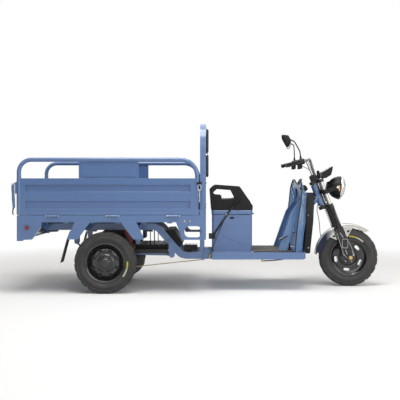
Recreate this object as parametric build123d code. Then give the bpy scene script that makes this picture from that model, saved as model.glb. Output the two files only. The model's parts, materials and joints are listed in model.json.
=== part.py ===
from build123d import *
from math import asin, atan2, cos, degrees, pi, radians, sin, sqrt, tan
import os

# Electric cargo tricycle. +X is forward, +Y is left, +Z is up, lengths in mm.
# The origin lies on the ground, below the middle of the whole machine.

# ---------------------------------------------------------------- running gear
REAR_AXLE_X = -779
WHEELBASE = 2061
TRACK = 890                 # between the middles of the rear tyres
REAR_TYRE_R = 250
FRONT_TYRE_R = 252
TYRE_W = 98
TREAD_DEPTH = 7
LUGS = 26                   # shoulder blocks on each side of a tyre
LUG_GROOVE = 17
BEAD_R = 152
RIM_W = 82
RIM_FLANGE_R = 167
HUB_R = 84                  # brake drum of a rear wheel
HUB_CAP_R = 37
VENT_HOLES = 8
VENT_CIRCLE_R = 113
VENT_R = 17
SPOKE_WINDOWS = 5
SEAT_GAP = 0.3              # between a tyre and its rim, a pin and its hole
FRONT_AXLE_R = 8
REAR_SHAFT_R = 14
AXLE_TUBE_R = 30
BRAKE_PLATE_T = 5

# ---------------------------------------------------------------- steering
RAKE = 21
FORK_OFFSET = 56
HEAD_Z = 793                # middle of the head tube
HEAD_LEN = 190
HEAD_R = 27
HEAD_BORE_R = 18
BEARING_H = 14
LEG_SPACING = 204           # between the two fork legs
STANCHION_R = 17.5
SPRING_R = 30
SPRING_WIRE_R = 4.5
SPRING_COILS = 11
LOWER_LEG_W = 84
LOWER_LEG_T = 34
FENDER_R = 291
FENDER_W = 116
FENDER_T = 2.5
BAR_R = 11
GRIP_R = 16

# ---------------------------------------------------------------- chassis
RAIL_Y = 250
RAIL_W = 40
RAIL_H = 55
UPPER_RAIL_Z = 530.5
KICK_TOP_X = -373
KICK_FOOT_X = -167
KICK_BEND_R = 90
FRAME_FRONT_X = 850
TIP_X = -1310               # hinge about which the cargo bed tips
TIP_Z = 535
TIP_TUBE_R = 22
TIP_PIN_R = 8
FLOOR_Z = 320
FLOOR_HALF = 335
FLOOR_BACK_X = 88
FLOOR_RAIL_H = 58
SHEET = 4

# ---------------------------------------------------------------- springs
EYE_SPAN = 506
EYE_Z = 411
EYE_R = 17
EYE_BOLT_R = 7
LEAF_Y = 330
LEAF_W = 45
LEAF_T = 7
LEAVES = 5
ARM_Y = 290
ARM_W = 20
ARM_PIVOT_X = -248
ARM_PIVOT_Z = 298

# ---------------------------------------------------------------- cargo bed
BED_HALF = 500
BED_RAIL_W = 40
BED_RAIL_TOP = 634
BED_RAIL_H = 55
BED_REAR_X = -1488
HEADBOARD_BACK_X = -11
HEADBOARD_T = 48
HEADBOARD_TOP_Z = 1390
HEADBOARD_CORNER_R = 200
HEADBOARD_TUBE = 38
BOARD_LIFT = 5              # gap below a board or the tailgate
BOARD_REAR_X = -1492
BOARD_FRONT_X = -17
BOARD_TOP_Z = 934
BOARD_T = 30
ARCH_R = 17.5
ARCH_TOP_Z = 1102
ARCH_REAR_BEND_R = 99.5
ARCH_FRONT_BEND_R = 132.5
BOARD_HINGE_OUT = 14        # hinge axis beyond the face of the bed
BOARD_HINGE_DROP = 4        # hinge axis below the top of the bed rail
KNUCKLE_R = 7
KNUCKLE_PIN_R = 3.5
HINGE_LEN = 93
BOARD_HINGES_X = (-1197, -712, -223)
TAILGATE_HALF = 462
TAILGATE_OUT = 12           # how far the tailgate stands behind the bed
TAILGATE_T = 28
TAIL_HINGES_Y = (-330, 0, 330)
SKIRT_BOTTOM_Z = 428
PLATE_DEPTH = 25
PLATE_T = 3

# ---------------------------------------------------------------- seat
BOX_BACK_X = 88
BOX_FRONT_X = 428
BOX_HALF = 210
BOX_TOP_Z = 629
BOX_WALL = 3
LID_GAP = 5
LID_H = 32
LID_OVER = 4                # lid beyond the box on each side
ARM_REST_T = 28
SEAT_HINGE_OUT = 12         # hinge axis in front of the battery box
SEAT_HINGE_LEN = 80
SEAT_HINGES_Y = (-110, 110)

# derived places
FRONT_AXLE_X = REAR_AXLE_X + WHEELBASE
WHEEL_Y = TRACK / 2
RAKE_SIN = sin(radians(RAKE))
RAKE_COS = cos(radians(RAKE))
FORK_DROP = (HEAD_Z - FRONT_TYRE_R + FORK_OFFSET * RAKE_SIN) / RAKE_COS
HEAD_X = FRONT_AXLE_X - FORK_OFFSET * RAKE_COS - FORK_DROP * RAKE_SIN
FORK_FRAME = Plane(origin=(HEAD_X, 0, HEAD_Z), x_dir=(RAKE_COS, 0, RAKE_SIN),
                   z_dir=(-RAKE_SIN, 0, RAKE_COS)).location
LOWER_RAIL_Z = FLOOR_Z - SHEET - RAIL_H / 2
UPPER_RAIL_TOP = UPPER_RAIL_Z + RAIL_H / 2
LOWER_RAIL_TOP = LOWER_RAIL_Z + RAIL_H / 2
BED_RAIL_BOTTOM = BED_RAIL_TOP - BED_RAIL_H
BOARD_BOTTOM_Z = BED_RAIL_TOP + BOARD_LIFT
BOARD_Y = BED_HALF - BOARD_T / 2
HINGE_Z = BED_RAIL_TOP - BOARD_HINGE_DROP
HEADBOARD_FRONT_X = HEADBOARD_BACK_X + HEADBOARD_T
LID_BOTTOM_Z = BOX_TOP_Z + LID_GAP
LID_TOP_Z = LID_BOTTOM_Z + LID_H


def block(x0, x1, y0, y1, z0, z1):
    """A box between two corners, given in any order."""
    centre = Pos((x0 + x1) / 2, (y0 + y1) / 2, (z0 + z1) / 2)
    return centre * Box(abs(x1 - x0), abs(y1 - y0), abs(z1 - z0))


def side_plate(face, y, thickness):
    """A face drawn in X and Z, standing from y to y + thickness."""
    return extrude(Plane(origin=(0, y, 0), x_dir=(1, 0, 0), z_dir=(0, -1, 0)) * face, amount=-thickness)


def polygon(*points):
    """A flat face through the points given."""
    return make_face(Polyline(*points, close=True))


def rod(start, end, radius):
    """A straight round bar from one point to another."""
    axis = Vector(*end) - Vector(*start)
    return extrude(Plane(origin=start, z_dir=axis) * Circle(radius), amount=axis.length)


def cross_rod(x, z, y0, y1, radius):
    """A round bar that lies across the machine."""
    return rod((x, y0, z), (x, y1, z), radius)


def bent_bar(points, radii, section, x_dir=None):
    """A section swept along straight runs joined by tangent arcs."""
    path = FilletPolyline(*points, radius=radii)
    start = Plane(origin=path @ 0, x_dir=x_dir, z_dir=path % 0)
    return sweep(start * section, path=path)


def both_sides(shape):
    """A shape and its mirror image across the middle plane."""
    return [shape, mirror(shape, about=Plane.XZ)]


def arc_band(centre_x, centre_z, r_in, r_out, start, end):
    """A face between two arcs, from one angle to another, in degrees."""
    def at(radius, angle):
        return (centre_x + radius * cos(radians(angle)), centre_z + radius * sin(radians(angle)))
    middle = (start + end) / 2
    edges = [ThreePointArc(at(r_out, start), at(r_out, middle), at(r_out, end)),
             Line(at(r_out, end), at(r_in, end)),
             ThreePointArc(at(r_in, end), at(r_in, middle), at(r_in, start)),
             Line(at(r_in, start), at(r_out, start))]
    return make_face(edges)


def ring_of(count, shape, axis, start=0):
    """Copies of a shape turned about an axis."""
    return [shape.rotate(axis, start + 360 * i / count) for i in range(count)]


def fixed_knuckles(centre, along, length):
    """The outer quarters of a hinge barrel with the pin through them."""
    quarter = length / 4
    x = Vector(*along)
    c = Vector(*centre)
    shape = rod(tuple(c - x * (length / 2 + 4)), tuple(c + x * (length / 2 + 4)), KNUCKLE_PIN_R)
    shape += rod(tuple(c - x * length / 2), tuple(c - x * (length / 2 - quarter)), KNUCKLE_R)
    shape += rod(tuple(c + x * (length / 2 - quarter)), tuple(c + x * length / 2), KNUCKLE_R)
    return shape


def moving_knuckle(centre, along, length):
    """The middle of a hinge barrel, before its pin hole."""
    half = length / 4 - 1
    x = Vector(*along)
    c = Vector(*centre)
    return rod(tuple(c - x * half), tuple(c + x * half), KNUCKLE_R)


def bore_of(centre, along, length):
    """The pin hole of a moving knuckle."""
    x = Vector(*along)
    c = Vector(*centre)
    return rod(tuple(c - x * length / 2), tuple(c + x * length / 2), KNUCKLE_PIN_R + SEAT_GAP)


nodes = {}


def write(name, *shapes):
    """Keep a sub-part under its name, and write its STEP file."""
    solids = [solid for shape in shapes for solid in shape.solids()]
    nodes[name] = solids
    export_step(Compound(solids), f"parts/{name}.step")


# ---------------------------------------------------------------- wheels
def tyre(centre, radius):
    """A tyre with a plain crown and blocks cut into both shoulders."""
    half = TYRE_W / 2
    bead = BEAD_R + SEAT_GAP
    side = [(-RIM_W / 2 + 9, bead), (-RIM_W / 2 + 5, RIM_FLANGE_R), (-RIM_W / 2 + 2, RIM_FLANGE_R + 3),
            (-half, (bead + radius) / 2), (-half + 3, radius - 15), (-half + 9, radius)]
    profile = Polyline(*side, *[(-y, r) for y, r in reversed(side)], close=True)
    body = revolve(Plane.YZ * make_face(profile), Axis.Y)
    groove_half = LUG_GROOVE / 2
    groove = block(-groove_half, groove_half, 22, half + 1, radius - TREAD_DEPTH, radius + 5)
    cuts = ring_of(LUGS, groove, Axis.Y, 180 / LUGS)
    cuts += ring_of(LUGS, mirror(groove, about=Plane.XZ), Axis.Y, 180 / LUGS)
    return Location(centre) * (body - cuts)


def rear_rim(centre, outward):
    """A pressed steel wheel with its brake drum and hub cap."""
    half = RIM_W / 2
    barrel = BEAD_R
    outline = Polyline(
        (half, RIM_FLANGE_R), (half - 4, RIM_FLANGE_R), (half - 8, barrel), (-half + 8, barrel),
        (-half + 4, RIM_FLANGE_R), (-half, RIM_FLANGE_R), (-half, barrel - 4), (-6, barrel - 5),
        (0, VENT_CIRCLE_R + 22), (14, VENT_CIRCLE_R), (14, HUB_R + 6), (0, HUB_R), (-half - 24, HUB_R),
        (-half - 24, HUB_R - 8), (-8, HUB_R - 8), (-8, REAR_SHAFT_R + SEAT_GAP), (26, REAR_SHAFT_R + SEAT_GAP),
        (26, 0), (40, 0), (40, HUB_CAP_R - 4), (36, HUB_CAP_R), (18, HUB_CAP_R), (12, HUB_R - 12),
        (20, HUB_R - 4), (22, HUB_R + 10), (22, VENT_CIRCLE_R + 2), (8, VENT_CIRCLE_R + 26),
        (half - 10, barrel - 6), (half, barrel + 6), close=True)
    wheel = revolve(Plane.YZ * make_face(outline), Axis.Y)
    vent = rod((0, -10, VENT_CIRCLE_R), (0, 40, VENT_CIRCLE_R), VENT_R)
    vent = vent & block(-VENT_R, VENT_R, -10, 40, VENT_CIRCLE_R - 6, VENT_CIRCLE_R + VENT_R)
    wheel = wheel - ring_of(VENT_HOLES, vent, Axis.Y)
    if outward < 0:
        wheel = mirror(wheel, about=Plane.XZ)
    return Location(centre) * wheel


def front_rim(centre):
    """A cast wheel with five windows."""
    half = RIM_W / 2
    outline = Polyline(
        (half, RIM_FLANGE_R), (half - 4, RIM_FLANGE_R), (half - 8, BEAD_R), (-half + 8, BEAD_R),
        (-half + 4, RIM_FLANGE_R), (-half, RIM_FLANGE_R), (-half, BEAD_R + 4), (-half + 10, BEAD_R - 8),
        (-14, BEAD_R - 12), (-12, 78), (-30, 60), (-38, 30), (-38, FRONT_AXLE_R + SEAT_GAP),
        (38, FRONT_AXLE_R + SEAT_GAP), (38, 30), (30, 60), (12, 78), (14, BEAD_R - 12),
        (half - 10, BEAD_R - 8), (half, BEAD_R + 4), close=True)
    wheel = revolve(Plane.YZ * make_face(outline), Axis.Y)
    window = side_plate(arc_band(0, 0, 90, 133, -22, 22), -half, RIM_W)
    window = fillet(window.edges().filter_by(Axis.Y), 12)
    return Location(centre) * (wheel - ring_of(SPOKE_WINDOWS, window, Axis.Y, 36))


os.makedirs("parts", exist_ok=True)

FRONT_HUB = (FRONT_AXLE_X, 0, FRONT_TYRE_R)
RIGHT_HUB = (REAR_AXLE_X, -WHEEL_Y, REAR_TYRE_R)
LEFT_HUB = (REAR_AXLE_X, WHEEL_Y, REAR_TYRE_R)
write("front_tyre", tyre(FRONT_HUB, FRONT_TYRE_R))
write("front_rim", front_rim(FRONT_HUB))
write("rear_tyre_right", tyre(RIGHT_HUB, REAR_TYRE_R))
write("rear_rim_right", rear_rim(RIGHT_HUB, -1))
write("rear_tyre_left", tyre(LEFT_HUB, REAR_TYRE_R))
write("rear_rim_left", rear_rim(LEFT_HUB, 1))

# ---------------------------------------------------------------- chassis frame
RAIL_SECTION = Rectangle(RAIL_W, RAIL_H)
DOWN_TUBE_R = 21


def main_rail(y):
    """One side member: high below the bed, then down to floor height."""
    points = [(TIP_X, y, UPPER_RAIL_Z), (KICK_TOP_X, y, UPPER_RAIL_Z), (KICK_FOOT_X, y, LOWER_RAIL_Z),
              (FRAME_FRONT_X, y, LOWER_RAIL_Z)]
    return bent_bar(points, KICK_BEND_R, RAIL_SECTION, (0, 1, 0))


def cross_member(x, half, z, width=RAIL_W, height=RAIL_W):
    """A square tube between the two side members, or past them."""
    return block(x - width / 2, x + width / 2, -half, half, z - height / 2, z + height / 2)


SPRING_X = REAR_AXLE_X - 1
EYES_X = (SPRING_X - EYE_SPAN / 2, SPRING_X + EYE_SPAN / 2)
HANGER_T = 6
HANGER_GAP = 1.5
OUTRIGGER_HALF = LEAF_Y + LEAF_W / 2 + HANGER_GAP + HANGER_T
OUTRIGGER_Z = UPPER_RAIL_Z


def hanger(x):
    """Two plates and a bolt that carry one eye of a spring, on the left side."""
    inner = LEAF_Y - LEAF_W / 2 - HANGER_GAP
    outer = LEAF_Y + LEAF_W / 2 + HANGER_GAP
    plate = Pos(x, EYE_Z) * Circle(EYE_R + 1)
    plate = plate + Pos(x, (EYE_Z + OUTRIGGER_Z) / 2) * Rectangle(2 * EYE_R + 2, OUTRIGGER_Z - EYE_Z)
    plates = side_plate(plate, inner - HANGER_T, HANGER_T) + side_plate(plate, outer, HANGER_T)
    return plates + cross_rod(x, EYE_Z, inner - HANGER_T - 8, outer + HANGER_T + 6, EYE_BOLT_R)


def arm_bracket():
    """Two plates and a bolt that carry the front end of a trailing arm, on the left side."""
    reach = 24
    face = Pos(ARM_PIVOT_X, ARM_PIVOT_Z) * Circle(reach)
    face = face + polygon((ARM_PIVOT_X - reach, ARM_PIVOT_Z), (ARM_PIVOT_X + reach, ARM_PIVOT_Z),
                          (ARM_PIVOT_X + reach, ARM_PIVOT_Z + 95), (ARM_PIVOT_X - reach, ARM_PIVOT_Z + 130))
    inner = side_plate(face, ARM_Y - ARM_W / 2 - 1 - HANGER_T, HANGER_T)
    outer = side_plate(face, ARM_Y + ARM_W / 2 + 1, HANGER_T)
    spacer = polygon((ARM_PIVOT_X - reach, ARM_PIVOT_Z + 60), (ARM_PIVOT_X + reach, ARM_PIVOT_Z + 60),
                     (ARM_PIVOT_X + reach, ARM_PIVOT_Z + 95), (ARM_PIVOT_X - reach, ARM_PIVOT_Z + 130))
    bridge = side_plate(spacer, RAIL_Y, ARM_Y + ARM_W / 2 + 1 - RAIL_Y)
    bolt = cross_rod(ARM_PIVOT_X, ARM_PIVOT_Z, RAIL_Y + 5, ARM_Y + ARM_W / 2 + 14, EYE_BOLT_R)
    return inner + outer + bridge + bolt


def head_point(along, forward=0):
    """A point in the middle plane, given along the steering axis and forward of it."""
    return (HEAD_X - along * RAKE_SIN + forward * RAKE_COS, 0,
            HEAD_Z + along * RAKE_COS + forward * RAKE_SIN)


FRONT_BLOCK_Z = 281
TOW_EYE_BORE_R = 9


def chassis_frame():
    """Side members, cross members, spring hangers, head tube and its two down tubes."""
    frame = main_rail(RAIL_Y) + main_rail(-RAIL_Y)
    frame += cross_rod(TIP_X, TIP_Z, -RAIL_Y - RAIL_W / 2 - 2, RAIL_Y + RAIL_W / 2 + 2, TIP_TUBE_R)
    for x in EYES_X:
        frame += cross_member(x, OUTRIGGER_HALF, OUTRIGGER_Z)
        for shape in both_sides(hanger(x)):
            frame += shape
    for shape in both_sides(arm_bracket()):
        frame += shape
    for x in (-110, 240, 560):
        frame += cross_member(x, RAIL_Y, LOWER_RAIL_Z)
    frame += cross_member(FRAME_FRONT_X, RAIL_Y + RAIL_W / 2, LOWER_RAIL_Z, 44, RAIL_H)
    for side in (-1, 1):
        post_y = side * RAIL_Y
        frame += block(-15, 23, post_y - 15, post_y + 15, LOWER_RAIL_Z, UPPER_RAIL_TOP)
    frame += Location(FORK_FRAME) * Pos(0, 0, -HEAD_LEN / 2) * extrude(Circle(HEAD_R), amount=HEAD_LEN)
    for side in (-1, 1):
        y = side * 38
        tube = [head_point(-20)[0:1] + (side * 6,) + head_point(-20)[2:3],
                (HEAD_X - 92, y, HEAD_Z - 120), (FRAME_FRONT_X + 28, y, 560),
                (FRAME_FRONT_X + 22, y, LOWER_RAIL_Z), ]
        frame += bent_bar(tube, 60, Circle(DOWN_TUBE_R))
    frame += block(FRAME_FRONT_X, FRAME_FRONT_X + 44, -70, 70, FRONT_BLOCK_Z, LOWER_RAIL_TOP)
    frame += block(28, 52, -RAIL_Y - RAIL_W / 2 - 6, -RAIL_Y, LOWER_RAIL_Z, LOWER_RAIL_TOP + 40)
    stem_bore = Location(FORK_FRAME) * Pos(0, 0, -HEAD_LEN) * extrude(Circle(HEAD_BORE_R), amount=2 * HEAD_LEN)
    frame -= stem_bore
    frame -= cross_rod(TIP_X, TIP_Z, -RAIL_Y - RAIL_W, RAIL_Y + RAIL_W, TIP_PIN_R + SEAT_GAP)
    return frame


frame = chassis_frame()
write("chassis_frame", frame)

# ---------------------------------------------------------------- rear axle, motor and suspension
AXLE = (REAR_AXLE_X, REAR_TYRE_R)
MOTOR_X = REAR_AXLE_X + 182
MOTOR_Z = 208
MOTOR_R = 88
MOTOR_HALF = 120
GEAR_R = 78
GEAR_HALF = 60
PLATE_Y = WHEEL_Y - RIM_W / 2 - 24 - 6
SADDLE_TOP = REAR_TYRE_R + AXLE_TUBE_R + 3


def trailing_arm():
    """One arm from the axle tube forward to its pivot, on the left side."""
    beam_z = 327
    back, front = REAR_AXLE_X - 10, ARM_PIVOT_X
    side = polygon((back - 30, REAR_TYRE_R), (back - 26, beam_z + 16), (front - 50, beam_z + 16),
                   (front + 6, ARM_PIVOT_Z + 18), (front + 6, ARM_PIVOT_Z - 18), (front - 50, beam_z - 16),
                   (back + 90, beam_z - 16), (back + 50, REAR_TYRE_R))
    side += Pos(front, ARM_PIVOT_Z) * Circle(20)
    side -= Pos(front, ARM_PIVOT_Z) * Circle(EYE_BOLT_R + SEAT_GAP)
    return side_plate(side, ARM_Y - ARM_W / 2, ARM_W)


def rear_axle():
    """Axle tube, gear case, brake plates, stub shafts and the two trailing arms."""
    axle = cross_rod(*AXLE, -PLATE_Y, PLATE_Y, AXLE_TUBE_R)
    axle += cross_rod(*AXLE, -GEAR_HALF, GEAR_HALF, GEAR_R)
    web = polygon((REAR_AXLE_X, REAR_TYRE_R + GEAR_R), (REAR_AXLE_X, REAR_TYRE_R - GEAR_R),
                  (MOTOR_X, MOTOR_Z - 60), (MOTOR_X, MOTOR_Z + 60))
    axle += side_plate(web, -GEAR_HALF + 10, 2 * GEAR_HALF - 20)
    shaft_end = WHEEL_Y + 25
    axle += cross_rod(*AXLE, -shaft_end, shaft_end, REAR_SHAFT_R)
    for side in (-1, 1):
        axle += cross_rod(*AXLE, side * (PLATE_Y - BRAKE_PLATE_T), side * PLATE_Y, HUB_R - 2)
        axle += block(REAR_AXLE_X - 45, REAR_AXLE_X + 45, side * (LEAF_Y - 24), side * (LEAF_Y + 24),
                      REAR_TYRE_R + 10, SADDLE_TOP)
    for arm in both_sides(trailing_arm()):
        axle += arm
    return axle


def drive_motor():
    """A cross-mounted motor with cooling ribs and a terminal cover."""
    motor = cross_rod(MOTOR_X, MOTOR_Z, -MOTOR_HALF, MOTOR_HALF, MOTOR_R - 8)
    for y in range(-MOTOR_HALF + 8, MOTOR_HALF, 16):
        motor += cross_rod(MOTOR_X, MOTOR_Z, y - 4, y + 4, MOTOR_R)
    motor += cross_rod(MOTOR_X, MOTOR_Z, -MOTOR_HALF - 22, MOTOR_HALF + 22, 34)
    return motor


def leaf_spring():
    """A stack of curved leaves with an eye at each end, on the left side."""
    half = EYE_SPAN / 2
    top_of_pack = SADDLE_TOP + LEAVES * LEAF_T
    rise = EYE_Z - EYE_R + LEAF_T - top_of_pack + 2
    radius = (half ** 2 + rise ** 2) / (2 * rise)
    centre_z = top_of_pack + radius
    spread = degrees(asin(half / radius))
    spring = None
    for leaf in range(LEAVES):
        inner = radius + leaf * LEAF_T
        reach = spread * (1 - 0.17 * leaf) + (1 if leaf == 0 else 0)
        band = arc_band(SPRING_X, centre_z, inner, inner + LEAF_T, 270 - reach, 270 + reach)
        solid = side_plate(band, LEAF_Y - LEAF_W / 2, LEAF_W)
        spring = solid if spring is None else spring + solid
    for x in EYES_X:
        spring += cross_rod(x, EYE_Z, LEAF_Y - LEAF_W / 2, LEAF_Y + LEAF_W / 2, EYE_R)
        spring -= cross_rod(x, EYE_Z, LEAF_Y - LEAF_W, LEAF_Y + LEAF_W, EYE_BOLT_R + SEAT_GAP)
    return spring


def damper():
    """A coil-over damper between the side member and the trailing arm, on the left side."""
    top = (REAR_AXLE_X + 145, ARM_Y, 492)
    foot = (REAR_AXLE_X + 212, ARM_Y, 360)
    run = Vector(*foot) - Vector(*top)
    middle = tuple(Vector(*top) + run * 0.7)
    body = rod(tuple(Vector(*top) + run * 0.12), middle, 17)
    body += rod(top, foot, 7)
    body += cross_rod(top[0], top[2], RAIL_Y + RAIL_W / 2, ARM_Y + 12, 12)
    body += cross_rod(foot[0], foot[2], ARM_Y - 10, ARM_Y + 10, 13)
    body += block(foot[0] - 8, foot[0] + 8, ARM_Y - 8, ARM_Y + 8, 343, foot[2])
    return body


axle = rear_axle()
write("rear_axle", axle)
write("drive_motor", drive_motor() - axle)
write("leaf_springs", *both_sides(leaf_spring()))
write("dampers", *both_sides(damper()))

# ---------------------------------------------------------------- boxes below the bed
CASE_Z = 330
CASE_H = 58


def underbed_covers():
    """A sloping guard sheet, a wiring case hung between the side members, and the controller."""
    inner = RAIL_Y - RAIL_W / 2
    case = block(-470, -285, -inner + 6, inner - 6, CASE_Z, CASE_Z + CASE_H)
    for side in (-1, 1):
        case += block(-440, -400, side * (inner - 6), side * inner, CASE_Z + 5, UPPER_RAIL_Z + 10)
    guard = polygon((-305, 505), (-301, 508), (-163, 349), (-167, 346))
    guard = side_plate(guard, -inner + SEAT_GAP, 2 * (inner - SEAT_GAP))
    flange = polygon((-305, 505), (-163, 349), (-196, 322), (-338, 478))
    for y in (-inner + SEAT_GAP, inner - SEAT_GAP - 3):
        guard += side_plate(flange, y, 3)
    control = block(-156, -39, -90, 90, LOWER_RAIL_Z + 20, 380)
    for i in range(6):
        control += block(-150 + 20 * i, -144 + 20 * i, -86, 86, 380, 388)
    return case, guard, control


write("underbed_covers", *underbed_covers())

# ---------------------------------------------------------------- floor
FLOOR_FRONT_X = FRAME_FRONT_X
FLOOR_RAIL_W = 30
MAT_T = 6


def floor_pan():
    """The pressed floor with a box rail along each edge and an outrigger below."""
    pan = block(FLOOR_BACK_X, FLOOR_FRONT_X, -FLOOR_HALF, FLOOR_HALF, FLOOR_Z - SHEET, FLOOR_Z)
    for side in (-1, 1):
        pan += block(FLOOR_BACK_X, FLOOR_FRONT_X, side * (FLOOR_HALF - FLOOR_RAIL_W), side * FLOOR_HALF,
                     FLOOR_Z - FLOOR_RAIL_H, FLOOR_Z)
        for x in (150, 470, 780):
            pan += block(x - 15, x + 15, side * (RAIL_Y + RAIL_W / 2), side * FLOOR_HALF,
                         FLOOR_Z - 40, FLOOR_Z)
    return pan


pan = floor_pan() - frame
write("floor_pan", pan)
mat_block = block(BOX_FRONT_X + 8, 780, -295, 295, FLOOR_Z, FLOOR_Z + MAT_T)
mat = mat_block
for i in range(9):
    x = BOX_FRONT_X + 40 + 36 * i
    mat += block(x, x + 12, -270, 270, FLOOR_Z, FLOOR_Z + MAT_T + 3)


# ---------------------------------------------------------------- battery box and seat
def battery_box():
    """The open steel box below the seat, with a pressed panel and a finger slot in each side."""
    shell = block(BOX_BACK_X, BOX_FRONT_X, -BOX_HALF, BOX_HALF, FLOOR_Z, BOX_TOP_Z)
    shell = fillet(shell.edges().filter_by(Axis.Z), 18)
    inner = block(BOX_BACK_X + BOX_WALL, BOX_FRONT_X - BOX_WALL, -BOX_HALF + BOX_WALL, BOX_HALF - BOX_WALL,
                  FLOOR_Z + BOX_WALL, BOX_TOP_Z + 10)
    shell -= fillet(inner.edges().filter_by(Axis.Z), 15)
    panel = polygon((178, 559), (393, 559), (389, 368), (206, 436), (142, 482))
    panel = fillet(panel.vertices(), 14)
    slot = Pos(257, 601) * SlotOverall(36, 15)
    for y in (-BOX_HALF - 3, BOX_HALF - 0.5):
        shell += side_plate(panel, y, 3.5)
        shell -= side_plate(slot, y - 5, 14)
    low = HINGE_SEAT_Z - KNUCKLE_R
    for y in SEAT_HINGES_Y:
        shell += fixed_knuckles((HINGE_SEAT_X, y, HINGE_SEAT_Z), (0, 1, 0), SEAT_HINGE_LEN)
        for end in (-1, 1):
            near, far = y + end * SEAT_HINGE_LEN / 4, y + end * SEAT_HINGE_LEN / 2
            shell += block(BOX_FRONT_X, BOX_FRONT_X + 3, near, far, low - 28, low + 3)
            shell += block(BOX_FRONT_X, HINGE_SEAT_X, near, far, low, low + 3)
    return shell


HINGE_SEAT_X = BOX_FRONT_X + SEAT_HINGE_OUT
HINGE_SEAT_Z = LID_BOTTOM_Z + 2


def seat_lid():
    """A shallow upturned tray with rounded corners and its hinge knuckles."""
    low, high = LID_BOTTOM_Z, LID_TOP_Z
    lid = block(BOX_BACK_X - LID_OVER, BOX_FRONT_X + LID_OVER, -BOX_HALF - LID_OVER, BOX_HALF + LID_OVER, low, high)
    lid = fillet(lid.edges().filter_by(Axis.Z), 20)
    lid = fillet(lid.edges().group_by(Axis.Z)[-1], 5)
    inside = block(BOX_BACK_X - LID_OVER + BOX_WALL, BOX_FRONT_X + LID_OVER - BOX_WALL,
                   -BOX_HALF - LID_OVER + BOX_WALL, BOX_HALF + LID_OVER - BOX_WALL, low - 5, high - BOX_WALL)
    lid -= fillet(inside.edges().filter_by(Axis.Z), 17)
    top = HINGE_SEAT_Z + KNUCKLE_R
    half = SEAT_HINGE_LEN / 4 - 1
    for y in SEAT_HINGES_Y:
        centre = (HINGE_SEAT_X, y, HINGE_SEAT_Z)
        leaf = moving_knuckle(centre, (0, 1, 0), SEAT_HINGE_LEN)
        leaf += block(BOX_FRONT_X + LID_OVER - 1, HINGE_SEAT_X, y - half, y + half, top - 3, top)
        lid += leaf - bore_of(centre, (0, 1, 0), SEAT_HINGE_LEN)
    return lid


def seat_arm(y):
    """One moulded arm with a hand hole, standing beside the cushion."""
    low = LID_TOP_Z + 0.3
    outline = polygon((81, low), (66.7, 848), (112, 885), (322, 870), (392, 770), (435, 703), (432, low))
    outline = fillet(outline.vertices().sort_by(Axis.Y)[2:], 24)
    hole = polygon((95, 815), (130, 846), (256, 836), (292, 768), (172, 757), (166, 796), (120, 798))
    hole = fillet(hole.vertices(), 8)
    arm = side_plate(outline - hole, y, ARM_REST_T)
    return arm


CUSHION_HALF = 168
write("battery_box", battery_box())
write("battery_pack", block(BOX_BACK_X + 15, BOX_FRONT_X - 25, -185, 185, FLOOR_Z + BOX_WALL, FLOOR_Z + 200))
write("seat_lid", seat_lid())
cushion = block(92, 428, -CUSHION_HALF, CUSHION_HALF, LID_TOP_Z + 0.3, 760)
cushion = fillet(cushion.edges().filter_by(Axis.Z), 40)
cushion = fillet(cushion.edges().group_by(Axis.Z)[-1], 25)
write("seat_cushion", cushion)
write("seat_arms", *both_sides(seat_arm(CUSHION_HALF + 5)))

# ---------------------------------------------------------------- leg shield and front cover
SHIELD_FOOT_Z = FLOOR_Z + 4
SHIELD_TOP_Z = 932
SHIELD_T = 3


def shield_section(z, edge_x, mid_x, half):
    """The plan of the leg shield at one height: a bow with its middle forward."""
    flank = (edge_x + mid_x) / 2 + 12
    def bow(offset):
        return [(edge_x + offset, half), (flank + offset, half * 0.86), (mid_x + offset, half * 0.45),
                (mid_x + offset, -half * 0.45), (flank + offset, -half * 0.86), (edge_x + offset, -half)]
    face = make_face(Polyline(*bow(0), *reversed(bow(-SHIELD_T)), close=True))
    return Plane(origin=(0, 0, z)) * face


def leg_shield():
    """A bowed sheet with two rounded peaks, and the plates that brace it to the floor."""
    sheet = loft([shield_section(SHIELD_FOOT_Z, 790, 856, 300), shield_section(SHIELD_TOP_Z, 836, 890, 255)])
    notch = Pos(0, SHIELD_TOP_Z + 40) * Ellipse(120, 95)
    sheet -= extrude(Plane(origin=(700, 0, 0), x_dir=(0, 1, 0), z_dir=(1, 0, 0)) * notch, amount=300)
    for side in (-1, 1):
        brace = polygon((846, 740), (815, 560), (735, FLOOR_Z), (790, FLOOR_Z), (850, 470))
        brace_y = 210 if side > 0 else -210 - 4
        sheet += side_plate(brace, brace_y, 4)
    return sheet


def cover_section(z, back_x, front_x, half):
    """The plan of the front cover at one height."""
    face = Pos((back_x + front_x) / 2, 0) * RectangleRounded(front_x - back_x, 2 * half, 18)
    return Plane(origin=(0, 0, z)) * face


def front_cover():
    """A moulded shell over the down tubes, open behind and below."""
    outer = loft([cover_section(291, 898, 937, 110), cover_section(560, 898, 962, 132),
                  cover_section(821, 898, 983, 80)])
    inner = loft([cover_section(280, 880, 933, 106), cover_section(560, 880, 957, 128),
                  cover_section(816, 880, 978, 76)])
    return outer - inner - Location(FORK_FRAME) * Cylinder(HEAD_R + 4, HEAD_LEN + 60)


shield = leg_shield() - frame - pan
write("leg_shield", shield)
write("front_cover", front_cover() - frame)

# ---------------------------------------------------------------- cargo bed
BED_FLOOR_Z = 632
BED_SHEET = 4
CROSS_Z0 = 568
CROSS_W = 40
EAR_T = 8
EAR_GAP = 3
EAR_Y = RAIL_Y + RAIL_W / 2 + 2 + EAR_GAP


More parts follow.
